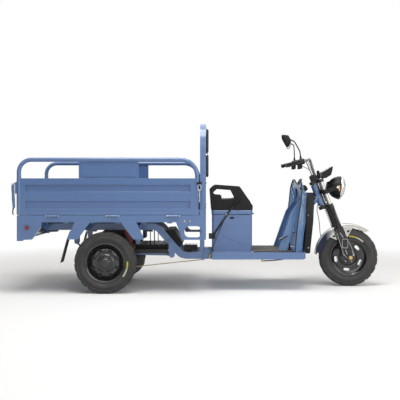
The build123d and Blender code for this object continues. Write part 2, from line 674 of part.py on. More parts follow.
def tip_ear():
    """A plate below the bed that turns on the tip hinge, with its pin, on the left side."""
    ear = Pos(TIP_X, TIP_Z) * Circle(26)
    ear += polygon((TIP_X - 26, TIP_Z), (TIP_X + 26, TIP_Z), (TIP_X + 30, CROSS_Z0 + 20), (TIP_X - 30, CROSS_Z0 + 20))
    plate = side_plate(ear, EAR_Y, EAR_T)
    plate += cross_rod(TIP_X, TIP_Z, RAIL_Y - 15, EAR_Y + EAR_T + 10, TIP_PIN_R)
    return plate


def bed_board_hinges(side):
    """The fixed halves of the side-board hinges, on one side of the bed."""
    shapes = None
    axis_y = side * (BED_HALF + BOARD_HINGE_OUT)
    for x in BOARD_HINGES_X:
        part = fixed_knuckles((x, axis_y, HINGE_Z), (1, 0, 0), HINGE_LEN)
        for end in (-1, 1):
            near = x + end * HINGE_LEN / 4
            far = x + end * HINGE_LEN / 2
            part += block(near, far, side * BED_HALF, side * (BED_HALF + 3), HINGE_Z - 28, HINGE_Z - 3)
            part += block(near, far, side * BED_HALF, axis_y, HINGE_Z - KNUCKLE_R, HINGE_Z - KNUCKLE_R + 3)
        shapes = part if shapes is None else shapes + part
    return shapes


def bed_floor():
    """Floor sheet, side rails, cross members, tip ears and the fixed halves of the hinges."""
    rear, front = BED_REAR_X + 5, HEADBOARD_BACK_X
    bed = block(rear, front, -BED_HALF + BED_RAIL_W, BED_HALF - BED_RAIL_W, BED_FLOOR_Z - BED_SHEET, BED_FLOOR_Z)
    for side in (-1, 1):
        bed += block(rear, front, side * (BED_HALF - BED_RAIL_W), side * BED_HALF, BED_RAIL_BOTTOM, BED_RAIL_TOP)
        bed += bed_board_hinges(side)
    for x in (TIP_X, -1100, -890, -680, -470, -260, -60):
        bed += block(x - CROSS_W / 2, x + CROSS_W / 2, -BED_HALF + BED_RAIL_W, BED_HALF - BED_RAIL_W,
                     CROSS_Z0, BED_FLOOR_Z - BED_SHEET)
    bed += block(rear, rear + CROSS_W, -BED_HALF + BED_RAIL_W, BED_HALF - BED_RAIL_W, BED_RAIL_BOTTOM, BED_RAIL_TOP)
    for ear in both_sides(tip_ear()):
        bed += ear
    return bed


def pressed_channel(outline, side, depth=PLATE_DEPTH):
    """A pressed plate with turned edges, its face flush with the side of the bed."""
    outer = side_plate(outline, BED_HALF - depth, depth)
    inner = side_plate(offset(outline, -PLATE_T), BED_HALF - depth - 1, depth - PLATE_T + 1)
    rib = side_plate(offset(outline, -18), BED_HALF - PLATE_T - 2, 4)
    plate = outer - inner + rib
    return plate if side > 0 else mirror(plate, about=Plane.XZ)


def bed_skirts():
    """Pressed plates below the bed: two beside each wheel, a corner gusset, a slotted plate, the rear skirt."""
    top = BED_RAIL_BOTTOM
    rear_bracket = polygon((-1024, top), (-900, top), (-1001, 441), (-1083, 441))
    front_bracket = polygon((-651, top), (-525, top), (-463, 441), (-549, 441))
    gusset = polygon((-1443, top), (-1291, top), (-1295, 538), (-1367, 440), (-1443, 437))
    slotted = polygon((-204, top), (HEADBOARD_FRONT_X, top), (HEADBOARD_FRONT_X, 438), (-157, 438))
    slot = Pos(-67, 503) * RectangleRounded(140, 89, 40)
    shapes = []
    for side in (-1, 1):
        skirt = pressed_channel(rear_bracket, side)
        carrier = polygon((-1024 - 25, 520), (-1024 - 22, 520), (-1083 + 3, 441), (-1083, 441))
        y = side * (BED_HALF - PLATE_DEPTH)
        skirt += side_plate(carrier, min(y, side * 390), abs(side * 390 - y))
        shapes += [skirt, pressed_channel(front_bracket, side)]
        plate = pressed_channel(slotted, side)
        cut = side_plate(slot, side * BED_HALF - 40, 80)
        shapes.append(plate - cut)
    rear = block(BED_REAR_X, BED_REAR_X + 3, -BED_HALF, BED_HALF, SKIRT_BOTTOM_Z, BED_RAIL_BOTTOM)
    rear += block(BED_REAR_X, BED_REAR_X + 20, -BED_HALF, BED_HALF, SKIRT_BOTTOM_Z, SKIRT_BOTTOM_Z + 3)
    rear += block(BED_REAR_X, BED_REAR_X + 5, -BED_HALF, BED_HALF, BED_RAIL_BOTTOM, BED_RAIL_TOP)
    for y in TAIL_HINGES_Y:
        part = fixed_knuckles((BED_REAR_X - BOARD_HINGE_OUT, y, HINGE_Z), (0, 1, 0), HINGE_LEN)
        for end in (-1, 1):
            near, far = y + end * HINGE_LEN / 4, y + end * HINGE_LEN / 2
            part += block(BED_REAR_X - 3, BED_REAR_X, near, far, HINGE_Z - 28, HINGE_Z - 3)
            part += block(BED_REAR_X - BOARD_HINGE_OUT, BED_REAR_X, near, far,
                          HINGE_Z - KNUCKLE_R, HINGE_Z - KNUCKLE_R + 3)
        rear += part
    for side in (-1, 1):
        rear += block(BED_REAR_X, BED_REAR_X + 45, side * (BED_HALF - 40), side * BED_HALF,
                      SKIRT_BOTTOM_Z, BED_RAIL_BOTTOM)
        corner = pressed_channel(gusset, side)
        rear += corner
        pocket = block(BED_REAR_X - 1, BED_REAR_X + 4, side * 325, side * 445, 460, 552)
        rear -= pocket
    shapes.append(rear)
    return shapes


LAMP_DEPTH = 12


def rear_lamps():
    """Two tail lamps in the rear skirt and a round marker on each corner gusset."""
    shapes = []
    for side in (-1, 1):
        lamp = block(BED_REAR_X - LAMP_DEPTH + 2, BED_REAR_X + 30, side * 325.3, side * 444.7, 460.3, 551.7)
        lamp = fillet(lamp.edges().group_by(Axis.X)[0], 4)
        shapes.append(lamp)
        marker = cross_rod(-1405, 536, side * BED_HALF, side * (BED_HALF + 9), 18)
        shapes.append(marker)
    return shapes


def mud_flap(side):
    """A rubber flap behind one rear wheel."""
    flap = polygon((-1061, 508), (-1056, 508), (-1081, 441), (-1131, 253), (-1138, 253), (-1087, 441))
    return side_plate(flap, 392 if side > 0 else -498, 106)


def board_section(outer):
    """The pressed profile of a board's sheet: outer face distance against height."""
    low, high = BOARD_BOTTOM_Z + 19, BOARD_TOP_Z - 51
    flat, deep = outer - 4, outer - 16
    face = [(flat, low), (flat, 687), (deep, 691), (deep, 742), (flat + 1, 751), (flat + 1, 820), (deep, 829), (deep, high)]
    back = [(y - 4, z) for y, z in reversed(face)]
    return face + back


def side_board(side):
    """One side board: bent tube arch, frame, pressed sheet, filler plate, corner latch and knuckles."""
    y = BOARD_Y
    rear, front = BOARD_REAR_X + ARCH_R, BOARD_FRONT_X - ARCH_R
    arch = bent_bar([(rear, y, BOARD_BOTTOM_Z), (rear, y, ARCH_TOP_Z - ARCH_R), (front, y, ARCH_TOP_Z - ARCH_R),
                     (front, y, BOARD_BOTTOM_Z)], [ARCH_REAR_BEND_R, ARCH_FRONT_BEND_R], Circle(ARCH_R))
    half = BOARD_T / 2
    board = arch
    board += block(rear, front, y - half, y + half, BOARD_TOP_Z - 51, BOARD_TOP_Z)
    board += block(rear, front, y - half, y + half, BOARD_BOTTOM_Z, BOARD_BOTTOM_Z + 19)
    for x0, x1 in ((rear, -1421), (-88, front)):
        board += block(x0, x1, y - half, y + half, BOARD_BOTTOM_Z, BOARD_TOP_Z)
    sheet = Plane(origin=(-1421, 0, 0), x_dir=(0, 1, 0), z_dir=(1, 0, 0)) * polygon(*board_section(BED_HALF))
    board += extrude(sheet, amount=-88 + 1421)
    filler = block(-991, -508, y - 2, y + 2, BOARD_TOP_Z, ARCH_TOP_Z - 2 * ARCH_R + 4)
    pad = side_plate(Pos(-753, 996) * RectangleRounded(431, 99, 14), y + 2, 3)
    board += filler + pad
    for x in BOARD_HINGES_X:
        centre = (x, BED_HALF + BOARD_HINGE_OUT, HINGE_Z)
        near, far = x - HINGE_LEN / 4 + 1, x + HINGE_LEN / 4 - 1
        leaf = moving_knuckle(centre, (1, 0, 0), HINGE_LEN)
        leaf += block(near, far, BED_HALF, BED_HALF + 3, BOARD_BOTTOM_Z - 1, BOARD_BOTTOM_Z + 19)
        leaf += block(near, far, BED_HALF, BED_HALF + BOARD_HINGE_OUT, BOARD_BOTTOM_Z - 4, BOARD_BOTTOM_Z - 1)
        board += leaf - bore_of(centre, (1, 0, 0), HINGE_LEN)
    board += corner_latch()
    return board if side > 0 else mirror(board, about=Plane.XZ)


def corner_latch():
    """The over-centre latch on the rear post of the left board."""
    y0, y1 = BOARD_Y - 9, BOARD_Y + 9
    lever = polygon((-1488, 908), (-1508, 898), (-1534, 872), (-1534, 850), (-1530, 810), (-1530, 770), (-1522, 684),
                    (-1515, 684), (-1520, 770), (-1518, 805), (-1488, 812))
    return side_plate(fillet(lever.vertices().group_by(Axis.X)[0], 6), y0, y1 - y0)


def tailgate():
    """The tailgate between the side boards: frame, pressed sheet and knuckles."""
    back = BED_REAR_X - TAILGATE_OUT
    half = TAILGATE_HALF
    gate = block(back, back + TAILGATE_T, -half, half, BOARD_TOP_Z - 40, BOARD_TOP_Z)
    gate += block(back, back + TAILGATE_T, -half, half, BOARD_BOTTOM_Z, BOARD_BOTTOM_Z + 19)
    for side in (-1, 1):
        gate += block(back, back + TAILGATE_T, side * (half - 36), side * half, BOARD_BOTTOM_Z, BOARD_TOP_Z)
    profile = [(back + BED_HALF - u, z) for u, z in board_section(BED_HALF)]
    sheet = Plane(origin=(0, -half + 36, 0), x_dir=(1, 0, 0), z_dir=(0, -1, 0)) * polygon(*profile)
    gate += extrude(sheet, amount=-2 * (half - 36))
    for y in TAIL_HINGES_Y:
        centre = (BED_REAR_X - BOARD_HINGE_OUT, y, HINGE_Z)
        near, far = y - HINGE_LEN / 4 + 1, y + HINGE_LEN / 4 - 1
        leaf = moving_knuckle(centre, (0, 1, 0), HINGE_LEN)
        leaf += block(back - 3, back, near, far, BOARD_BOTTOM_Z - 4, BOARD_BOTTOM_Z + 19)
        gate += leaf - bore_of(centre, (0, 1, 0), HINGE_LEN)
    return gate


def headboard():
    """The guard behind the driver: bent frame, ribbed lower sheet, middle panel and two uprights."""
    outer = Pos(0, (HEADBOARD_TOP_Z + BED_RAIL_BOTTOM) / 2) * Rectangle(2 * BED_HALF, HEADBOARD_TOP_Z - BED_RAIL_BOTTOM)
    outer = fillet(outer.vertices().group_by(Axis.Y)[-1], HEADBOARD_CORNER_R)
    inner = offset(outer, -HEADBOARD_TUBE)
    inner = inner - Pos(0, BED_RAIL_BOTTOM) * Rectangle(2000, 160)
    frame_face = outer - inner
    yz = Plane(origin=(HEADBOARD_BACK_X, 0, 0), x_dir=(0, 1, 0), z_dir=(1, 0, 0))
    guard = extrude(yz * frame_face, amount=HEADBOARD_T)
    mid_x = HEADBOARD_BACK_X + HEADBOARD_T / 2
    panel = block(mid_x - 2, mid_x + 2, -BED_HALF + 30, BED_HALF - 30, BED_RAIL_TOP, BOARD_TOP_Z)
    for z in (700, 770, 840):
        panel += block(mid_x - 8, mid_x + 8, -BED_HALF + 60, BED_HALF - 60, z, z + 30)
    guard += panel
    guard += block(HEADBOARD_BACK_X + 6, HEADBOARD_FRONT_X - 6, -BED_HALF + 30, BED_HALF - 30, BOARD_TOP_Z - 15, BOARD_TOP_Z + 15)
    guard += block(HEADBOARD_FRONT_X - 3, HEADBOARD_FRONT_X, -215, 215, BOARD_TOP_Z, HEADBOARD_TOP_Z - 10)
    for side in (-1, 1):
        guard += block(HEADBOARD_FRONT_X - 28, HEADBOARD_FRONT_X - 3, side * 200, side * 228,
                       BOARD_TOP_Z, HEADBOARD_TOP_Z - 10)
        guard += front_latch() if side > 0 else mirror(front_latch(), about=Plane.XZ)
    return guard


def front_latch():
    """The over-centre latch on the side of the headboard post, on the left side."""
    y = BED_HALF
    mid = HEADBOARD_BACK_X + HEADBOARD_T / 2
    latch = block(mid - 14, mid + 14, y, y + 4, 780, 925)
    latch += block(mid - 7, mid + 7, y + 4, y + 16, 860, 905)
    latch += block(mid - 5, mid + 5, y + 10, y + 16, 684, 862)
    return latch


PAD_X = HEADBOARD_FRONT_X + SEAT_GAP
PAD_T = 19
write("bed_floor", bed_floor())
skirts = bed_skirts()
write("bed_skirts", *skirts)
write("rear_lamps", *rear_lamps())
write("mud_flaps", mud_flap(-1) - skirts, mud_flap(1) - skirts)
write("headboard", headboard())
pads = []
for low, high in ((945, 1148), (1155, 1365)):
    pad = block(PAD_X, PAD_X + PAD_T, -205, 205, low, high)
    pad = fillet(pad.edges().filter_by(Axis.X), 30)
    pads.append(fillet(pad.edges().group_by(Axis.X)[-1], 8))
write("backrest_pads", *pads)
write("side_board_right", side_board(-1))
write("side_board_left", side_board(1))
write("tailgate", tailgate())

# ---------------------------------------------------------------- steering
LEG_Y = LEG_SPACING / 2
TOP_YOKE_S = HEAD_LEN / 2 + 18
LOW_YOKE_S = -HEAD_LEN / 2 - 22
YOKE_T = 26
SPRING_TOP_S = LOW_YOKE_S - YOKE_T / 2
SPRING_FOOT_S = SPRING_TOP_S - 190
AXLE_S = -FORK_DROP


def steer(shape):
    """Places a shape drawn along the steering axis."""
    return Location(FORK_FRAME) * shape


def yoke(s, thickness):
    """A clamp that joins the steering stem to both fork legs."""
    face = Rectangle(44, LEG_SPACING)
    face = Pos(FORK_OFFSET - 4, 0) * Rectangle(44, LEG_SPACING + 20) + Pos(12, 0) * Rectangle(80, 90)
    for side in (-1, 1):
        face += Pos(FORK_OFFSET, side * LEG_Y) * Circle(STANCHION_R + 10)
    face = fillet(face.vertices().group_by(Axis.X)[0], 18)
    solid = Pos(0, 0, s - thickness / 2) * extrude(face, amount=thickness)
    for side in (-1, 1):
        hole = Pos(FORK_OFFSET, side * LEG_Y, s - thickness) * extrude(Circle(STANCHION_R + 0.1), amount=2 * thickness)
        solid -= hole
    return solid


def fork_yokes():
    """Both clamps and the stem between them."""
    shape = yoke(TOP_YOKE_S, YOKE_T) + yoke(LOW_YOKE_S, YOKE_T)
    stem = Pos(0, 0, LOW_YOKE_S) * extrude(Circle(13), amount=TOP_YOKE_S - LOW_YOKE_S + 20)
    for s in (-HEAD_LEN / 2, HEAD_LEN / 2 - BEARING_H):
        stem += Pos(0, 0, s) * extrude(Circle(HEAD_BORE_R - SEAT_GAP), amount=BEARING_H)
    return shape + stem


def fork_stanchions():
    """The two upper tubes of the fork."""
    length = TOP_YOKE_S + YOKE_T / 2 + 6 - SPRING_FOOT_S
    return [Pos(FORK_OFFSET, side * LEG_Y, SPRING_FOOT_S) * extrude(Circle(STANCHION_R), amount=length)
            for side in (-1, 1)]


def fork_springs():
    """A coil spring round each upper tube."""
    shapes = []
    for side in (-1, 1):
        ring = Circle(SPRING_R) - Circle(STANCHION_R + 0.5)
        foot = Pos(FORK_OFFSET, side * LEG_Y, SPRING_FOOT_S)
        shapes.append(foot * extrude(ring, amount=SPRING_TOP_S - SPRING_FOOT_S))
    return shapes


def fork_lowers():
    """Both lower legs, wide and flat, and the axle between them."""
    legs = None
    top = SPRING_FOOT_S
    w = LOWER_LEG_W / 2
    x = FORK_OFFSET
    for side in (-1, 1):
        face = polygon((x - w * 0.62, top), (x + w * 0.8, top), (x + w * 0.8, AXLE_S + 90), (x + 24, AXLE_S - 6),
                       (x + 10, AXLE_S - 26), (x - 10, AXLE_S - 26), (x - 24, AXLE_S - 6), (x - w * 0.9, AXLE_S + 60),
                       (x - w * 0.9, top - 40))
        leg = side_plate(face, side * LEG_Y - LOWER_LEG_T / 2, LOWER_LEG_T)
        legs = leg if legs is None else legs + leg
    end = LEG_Y + LOWER_LEG_T / 2 + 14
    legs += cross_rod(x, AXLE_S, -end, end, FRONT_AXLE_R)
    for side in (-1, 1):
        legs += cross_rod(x, AXLE_S, side * (LEG_Y + LOWER_LEG_T / 2), side * (end - 4), 15)
        legs += cross_rod(x, AXLE_S, side * 41, side * (LEG_Y - LOWER_LEG_T / 2), 16)
    return legs


def front_fender():
    """A bright mudguard with turned side lips and its stays."""
    axle = (FRONT_AXLE_X, FRONT_TYRE_R)
    half = FENDER_W / 2
    crown = arc_band(*axle, FENDER_R - FENDER_T, FENDER_R, 52, 175)
    band = side_plate(crown, -half, FENDER_W)
    lip = side_plate(arc_band(*axle, FENDER_R - 26, FENDER_R, 56, 172), -half, FENDER_T)
    band += lip + mirror(lip, about=Plane.XZ)
    reach = LEG_Y - LOWER_LEG_T / 2
    for angle in (107, 115):
        x = FRONT_AXLE_X + (FENDER_R - 17) * cos(radians(angle))
        z = FRONT_TYRE_R + (FENDER_R - 17) * sin(radians(angle))
        band += cross_rod(x, z, -reach, reach, 6)
    return band


legs = [steer(fork_lowers())]
yokes = steer(fork_yokes())
write("fork_yokes", yokes)
write("fork_stanchions", *[steer(s) for s in fork_stanchions()])
write("fork_springs", *[steer(s) for s in fork_springs()])
write("fork_lowers", *legs)
write("front_fender", front_fender())

# handlebar, controls and lamps
BAR_FORWARD = 31
BAR_S = TOP_YOKE_S + YOKE_T / 2 + 30
BAR_CLAMP = head_point(BAR_S, BAR_FORWARD)
BAR_SIDE = [(BAR_CLAMP[0], 85, BAR_CLAMP[2]), (930, 165, 1106), (885, 348, 1090), (663, 372, 1052)]


def handlebar():
    """The bent bar and its clamp block."""
    left = BAR_SIDE
    right = [(x, -y, z) for x, y, z in reversed(left)]
    bar = bent_bar(right + left, [60, 50, 34, 34, 50, 60], Circle(BAR_R))
    low = TOP_YOKE_S + YOKE_T / 2
    for side in (-1, 1):
        bar += steer(block(BAR_FORWARD - 17, BAR_FORWARD + 17, side * 22, side * 56, low, BAR_S + 18))
    return bar


def bar_controls():
    """Grips, switch pods and brake levers."""
    shapes = None
    end = Vector(*BAR_SIDE[3])
    bend = Vector(*BAR_SIDE[2])
    along = (bend - end).normalized()
    grip = rod(tuple(end - along * 4), tuple(end + along * 136), GRIP_R)
    pod = rod(tuple(end + along * 136), tuple(end + along * 186), 24)
    lever = rod(tuple(end + along * 160 + Vector(0, 12, 0)), tuple(end + along * 160 + Vector(10, 62, -4)), 7)
    lever += rod(tuple(end + along * 160 + Vector(10, 60, -4)), tuple(end + along * 10 + Vector(0, 66, -8)), 6)
    left = grip + pod + lever
    bore = rod(tuple(end), tuple(bend), BAR_R)
    left -= bore
    return both_sides(left)


def mirror_set():
    """A bent stem and an oval head on each side."""
    stem_points = [(824, 352, 1085), (822, 358, 1152), (772, 396, 1232), (699, 428, 1241)]
    stem = bent_bar(stem_points, [20, 20], Circle(5))
    head = Pos(697, 430, 1241) * Rot(0, 0, 62) * Rot(90, 0, 0) * extrude(Ellipse(58, 52), amount=10, both=True)
    left = stem + head
    return both_sides(left)


def headlamp():
    """The lamp shell with its bezel, and the lens."""
    axis = (cos(radians(-8)), 0, sin(radians(-8)))
    centre = Vector(1175, 0, 860)
    face = centre + Vector(*axis) * 78
    plane = Plane(origin=tuple(face), x_dir=(0, 1, 0), z_dir=axis)
    profile = Polyline((0, -150), (50, -146), (84, -110), (98, -50), (101, -30), (101, 0), (92, 0), (88, -14), (0, -14),
                       close=True)
    shell = plane.location * revolve(Plane.XZ * make_face(profile), Axis.Z)
    for side in (-1, 1):
        collar = Circle(STANCHION_R + 5) - Circle(STANCHION_R + 0.2)
        ear = Pos(FORK_OFFSET, side * LEG_Y, -10) * extrude(collar, amount=40)
        ear += block(FORK_OFFSET + STANCHION_R + 2, 186, side * (LEG_Y - 8), side * (LEG_Y - 4), -10, 30)
        shell += steer(ear)
        shell += cross_rod(centre.X, centre.Z, side * 84, side * (LEG_Y + 2), 9)
    lens_profile = Polyline((0, -13.7), (87.5, -13.7), (91, -2), (70, 2.5), (40, 5), (0, 6), close=True)
    lens = revolve(Plane.XZ * make_face(lens_profile), Axis.Z)
    return shell, plane.location * lens


def instrument():
    """The sloping instrument housing above the headlamp."""
    face = polygon((1055, 972), (1068, 962), (1152, 962), (1128, 1044), (1118, 1048), (1060, 990))
    housing = side_plate(face, -75, 150)
    stay = side_plate(polygon((1026, 926), (1043, 930), (1082, 962), (1056, 971)), -30, 60)
    return housing + stay


bar = handlebar()
write("handlebar", bar)
controls = [shape - bar for shape in bar_controls()]
write("bar_controls", *controls)
write("mirrors", *[shape - controls - bar for shape in mirror_set()])
shell, lens = headlamp()
write("headlamp_shell", shell)
write("headlamp_lens", lens)
write("instrument", instrument() - yokes - bar - shell)

# ---------------------------------------------------------------- small controls
def brake_pedal():
    """The pedal, its bellcrank below the floor and the rod to the rear axle."""
    pedal = Pos(694, -185, 434) * Rot(0, -28, 0) * Box(70, 90, 8)
    arm = bent_bar([(700, -185, 434), (744, -185, 384), (752, -185, FLOOR_Z + 6)], 24, Circle(8))
    foot = block(734, 772, -200, -170, FLOOR_Z, FLOOR_Z + 14)
    return pedal + arm + foot


def parking_lever():
    """A cranked hand lever beside the seat, with its pivot bracket."""
    lever = bent_bar([(107, -250, 432), (107, -250, 470), (240, -262, 668), (322, -262, 764)], [14, 60], Circle(8))
    bracket = block(60, 117, -222, -BOX_HALF, 425, 473)
    lever += bracket + cross_rod(107, 440, -256, -216, 8)
    return lever


pedal = brake_pedal()
write("brake_pedal", pedal)
write("floor_mat", mat - shield - pedal)
write("parking_lever", parking_lever())


def brake_linkage():
    """The bellcrank beside the side member and the rod back to the rear brake lever."""
    y = -RAIL_Y - RAIL_W / 2 - 6 - SEAT_GAP
    crank = polygon((32, 348), (48, 346), (100, 299), (94, 285), (44, 326), (24, 256), (8, 260))
    crank = side_plate(crank, y - 6, 6)
    crank += cross_rod(40, 340, y - 12, y, 9)
    pull = rod((15, y - 10, 258), (-700, -LEAF_Y - 26, 190), 4)
    crank += cross_rod(16, 260, y - 14, y, 6)
    return crank + pull


def tow_eye():
    """A ring below the front of the frame."""
    x, z = FRAME_FRONT_X + 40, FRONT_BLOCK_Z - 17
    ring = Pos(x, z) * Circle(17) + Pos(x, z + 10) * Rectangle(26, 14)
    ring -= Pos(x, z) * Circle(TOW_EYE_BORE_R)
    return side_plate(ring, -5, 10)


write("brake_linkage", brake_linkage())
write("tow_eye", tow_eye())
print("built", len(nodes), "nodes")
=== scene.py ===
# %% [markdown]
# # Dressing an electric cargo tricycle
# The machine arrives as a frame of rigid pieces that already have their true size and place. This lesson
# gives each of them its finish, makes the soft and the small pieces that a solid model leaves out, and sets
# up a plain studio. The frame is in metres, +X is forward, +Y is the left side and +Z is up. Pieces are
# drawn in millimetres, as on a workshop drawing, and brought to metres when they are kept.

# %% Load the frame
import bpy, bmesh, json
from math import atan2, cos, degrees, pi, radians, sin, sqrt, tan
from mathutils import Matrix, Vector
from mathutils.bvhtree import BVHTree

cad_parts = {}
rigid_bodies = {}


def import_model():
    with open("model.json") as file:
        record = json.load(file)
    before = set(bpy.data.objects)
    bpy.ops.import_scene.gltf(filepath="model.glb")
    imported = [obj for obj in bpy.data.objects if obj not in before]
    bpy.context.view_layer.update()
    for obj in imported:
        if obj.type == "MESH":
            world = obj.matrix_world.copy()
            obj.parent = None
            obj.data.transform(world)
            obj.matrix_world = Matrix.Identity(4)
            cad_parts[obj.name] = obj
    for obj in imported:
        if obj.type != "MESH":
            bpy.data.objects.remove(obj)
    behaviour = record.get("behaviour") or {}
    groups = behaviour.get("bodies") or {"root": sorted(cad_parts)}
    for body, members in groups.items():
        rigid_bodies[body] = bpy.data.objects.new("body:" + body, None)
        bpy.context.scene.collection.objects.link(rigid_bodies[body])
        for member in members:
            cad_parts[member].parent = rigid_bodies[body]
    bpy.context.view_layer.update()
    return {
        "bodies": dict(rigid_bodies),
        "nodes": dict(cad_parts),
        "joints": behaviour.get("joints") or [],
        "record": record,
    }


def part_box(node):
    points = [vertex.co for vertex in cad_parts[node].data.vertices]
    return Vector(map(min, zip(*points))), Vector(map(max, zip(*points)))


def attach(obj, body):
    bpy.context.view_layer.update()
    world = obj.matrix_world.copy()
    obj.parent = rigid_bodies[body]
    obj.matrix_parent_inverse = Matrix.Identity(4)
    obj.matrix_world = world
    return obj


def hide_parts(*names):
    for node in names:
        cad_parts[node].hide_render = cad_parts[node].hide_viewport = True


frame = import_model()
NODES = frame["nodes"]

# %% [markdown]
# ## Small helpers
# Three things come up all the time: adding an object, making a material, and turning a piece with modifiers
# into a plain mesh.

# %% Helpers for objects and materials
def put(name, data):
    """Adds an object with its data to the scene."""
    made = bpy.data.objects.new(name, data)
    bpy.context.scene.collection.objects.link(made)
    return made


def made_plain(piece):
    """Applies a piece's modifiers, and returns its new mesh."""
    depsgraph = bpy.context.evaluated_depsgraph_get()
    mesh = bpy.data.meshes.new_from_object(piece.evaluated_get(depsgraph), depsgraph=depsgraph)
    piece.modifiers.clear()
    piece.data = mesh
    return mesh


def new_material(name):
    """A new material, with its tree and its shader."""
    material = bpy.data.materials.new(name)
    material.use_nodes = True
    return material, material.node_tree, material.node_tree.nodes["Principled BSDF"]


# %% [markdown]
# ## The camera
# A long lens, level with the load bed and square to the side of the machine, keeps the upright lines upright.
# The view is moved in the frame by a small lens shift instead of by tilting the camera.

# %% Camera
CAMERA_PLACE = (0.037, -6.10, 0.868)
LENS, SENSOR = 62.55, 36
SHIFT_RIGHT, SHIFT_UP = -0.015, -0.0338
camera_data = bpy.data.cameras.new("camera")
camera_data.lens = LENS
camera_data.sensor_width = SENSOR
camera_data.shift_x = SHIFT_RIGHT
camera_data.shift_y = SHIFT_UP
camera = put("camera", camera_data)
camera.location = CAMERA_PLACE
camera.rotation_euler = (radians(90), 0, 0)
bpy.context.scene.camera = camera
print("camera", CAMERA_PLACE, "lens", LENS)

# %% [markdown]
# ## Node helpers
# Materials and generators are both trees of nodes. `lay` puts one node in a tree and either links or sets
# each of its inputs, `place` is its short form for shader nodes, and `new_group` starts a tree with named
# sockets.

# %% Helpers for node trees
def feed(tree, socket, value):
    """Links a socket to an input, or sets the input to a plain value."""
    if isinstance(value, bpy.types.NodeSocket):
        tree.links.new(value, socket)
    else:
        socket.default_value = value


def lay(tree, kind, inputs=None, **settings):
    """Adds a node of any kind."""
    made = tree.nodes.new(kind)
    for name, value in settings.items():
        setattr(made, name, value)
    for name, value in (inputs or {}).items():
        feed(tree, made.inputs[name], value)
    return made


def place(tree, kind, inputs=None, **settings):
    """Adds a shader node."""
    return lay(tree, "ShaderNode" + kind, inputs, **settings)


def new_group(name, inputs, outputs, kind="ShaderNodeTree"):
    """Starts a group, and returns its tree, its input sockets and its output node."""
    tree = bpy.data.node_groups.new(name, kind)
    for label, form, value in inputs:
        socket = tree.interface.new_socket(label, in_out="INPUT", socket_type="NodeSocket" + form)
        if value is not None:
            socket.default_value = value
    for label, form in outputs:
        tree.interface.new_socket(label, in_out="OUTPUT", socket_type="NodeSocket" + form)
    return tree, tree.nodes.new("NodeGroupInput").outputs, tree.nodes.new("NodeGroupOutput").inputs


def object_place(tree):
    """Where a point lies on its own piece."""
    return place(tree, "TexCoord").outputs["Object"]


def math_node(tree, operation, first, second=0.0, third=None, clamp=False):
    """One sum, as a node."""
    made = place(tree, "Math", operation=operation, use_clamp=clamp)
    for socket, value in zip(made.inputs, (first, second) if third is None else (first, second, third)):
        feed(tree, socket, value)
    return made.outputs[0]


def blend_colour(tree, mask, first, second):
    """Goes from the first colour to the second as the mask goes from 0 to 1."""
    made = place(tree, "Mix", data_type="RGBA")
    for socket, value in ((made.inputs[0], mask), (made.inputs[6], first), (made.inputs[7], second)):
        feed(tree, socket, value)
    return made.outputs[2]


def rgba(red, green, blue):
    """A colour with full alpha."""
    return (red, green, blue, 1.0)


# %% [markdown]
# ## Effects that many finishes share
# Three things recur on this machine. Sprayed and moulded surfaces have a fine relief, so `surface_relief`
# gives a height and a mottle at a chosen scale. Edges catch the light, so `edge_mask` compares the true
# normal with a bevelled one, and each finish paints a lighter colour along its edges: a painted highlight,
# with a little wear where edges lose their colour first. A little dust settles on what faces upward.

# %% Shared shader groups
def build_relief():
    """Fine relief and broad mottle from the same coordinates."""
    tree, into, out = new_group(
        "surface_relief",
        [("Scale", "Float", 400.0), ("Mottle Scale", "Float", 6.0)],
        [("Height", "Float"), ("Mottle", "Float")])
    where = object_place(tree)
    fine = place(tree, "TexNoise", {"Vector": where, "Scale": into["Scale"], "Detail": 3.0})
    broad = place(tree, "TexNoise", {"Vector": where, "Scale": into["Mottle Scale"], "Detail": 5.0})
    tree.links.new(fine.outputs[0], out["Height"])
    tree.links.new(broad.outputs[0], out["Mottle"])
    return tree


def build_edge_mask():
    """White where a bevel of the given width would turn the surface."""
    tree, into, out = new_group(
        "edge_mask", [("Width", "Float", 0.002), ("Breakup", "Float", 60.0)],
        [("Mask", "Float"), ("Normal", "Vector")])
    bevel = place(tree, "Bevel", {"Radius": into["Width"]}, samples=4)
    flat = place(tree, "NewGeometry").outputs["Normal"]
    turn = place(tree, "VectorMath", {0: bevel.outputs[0], 1: flat}, operation="DOT_PRODUCT")
    edge = math_node(tree, "SUBTRACT", 1.0, turn.outputs["Value"])
    patch = place(tree, "TexNoise", {"Vector": object_place(tree),
                                     "Scale": into["Breakup"], "Detail": 4.0})
    ragged = math_node(tree, "MULTIPLY", edge, math_node(tree, "MULTIPLY", patch.outputs[0], 9.0))
    tree.links.new(math_node(tree, "MINIMUM", ragged, 1.0), out["Mask"])
    tree.links.new(bevel.outputs[0], out["Normal"])
    return tree


def build_dust():
    """A mask of settled dust: thick on what faces up, thin on upright faces, in soft patches."""
    tree, into, out = new_group("settled_dust", [("Amount", "Float", 0.3)], [("Mask", "Float")])
    coords = place(tree, "TexCoord")
    up = place(tree, "SeparateXYZ", {"Vector": coords.outputs["Normal"]}).outputs["Z"]
    facing = math_node(tree, "MULTIPLY_ADD", up, 0.5, 0.5)
    cloud = place(tree, "TexNoise", {"Vector": coords.outputs["Object"], "Scale": 14.0, "Detail": 6.0})
    speck = place(tree, "TexNoise", {"Vector": coords.outputs["Object"], "Scale": 320.0, "Detail": 2.0})
    patch = math_node(tree, "MULTIPLY", cloud.outputs[0], speck.outputs[0])
    mask = math_node(tree, "MULTIPLY", math_node(tree, "MULTIPLY", facing, patch), into["Amount"])
    tree.links.new(math_node(tree, "MULTIPLY", mask, 3.0, clamp=True), out["Mask"])
    return tree


RELIEF, EDGES, DUST = build_relief(), build_edge_mask(), build_dust()
DUST_COLOUR = rgba(0.30, 0.285, 0.26)


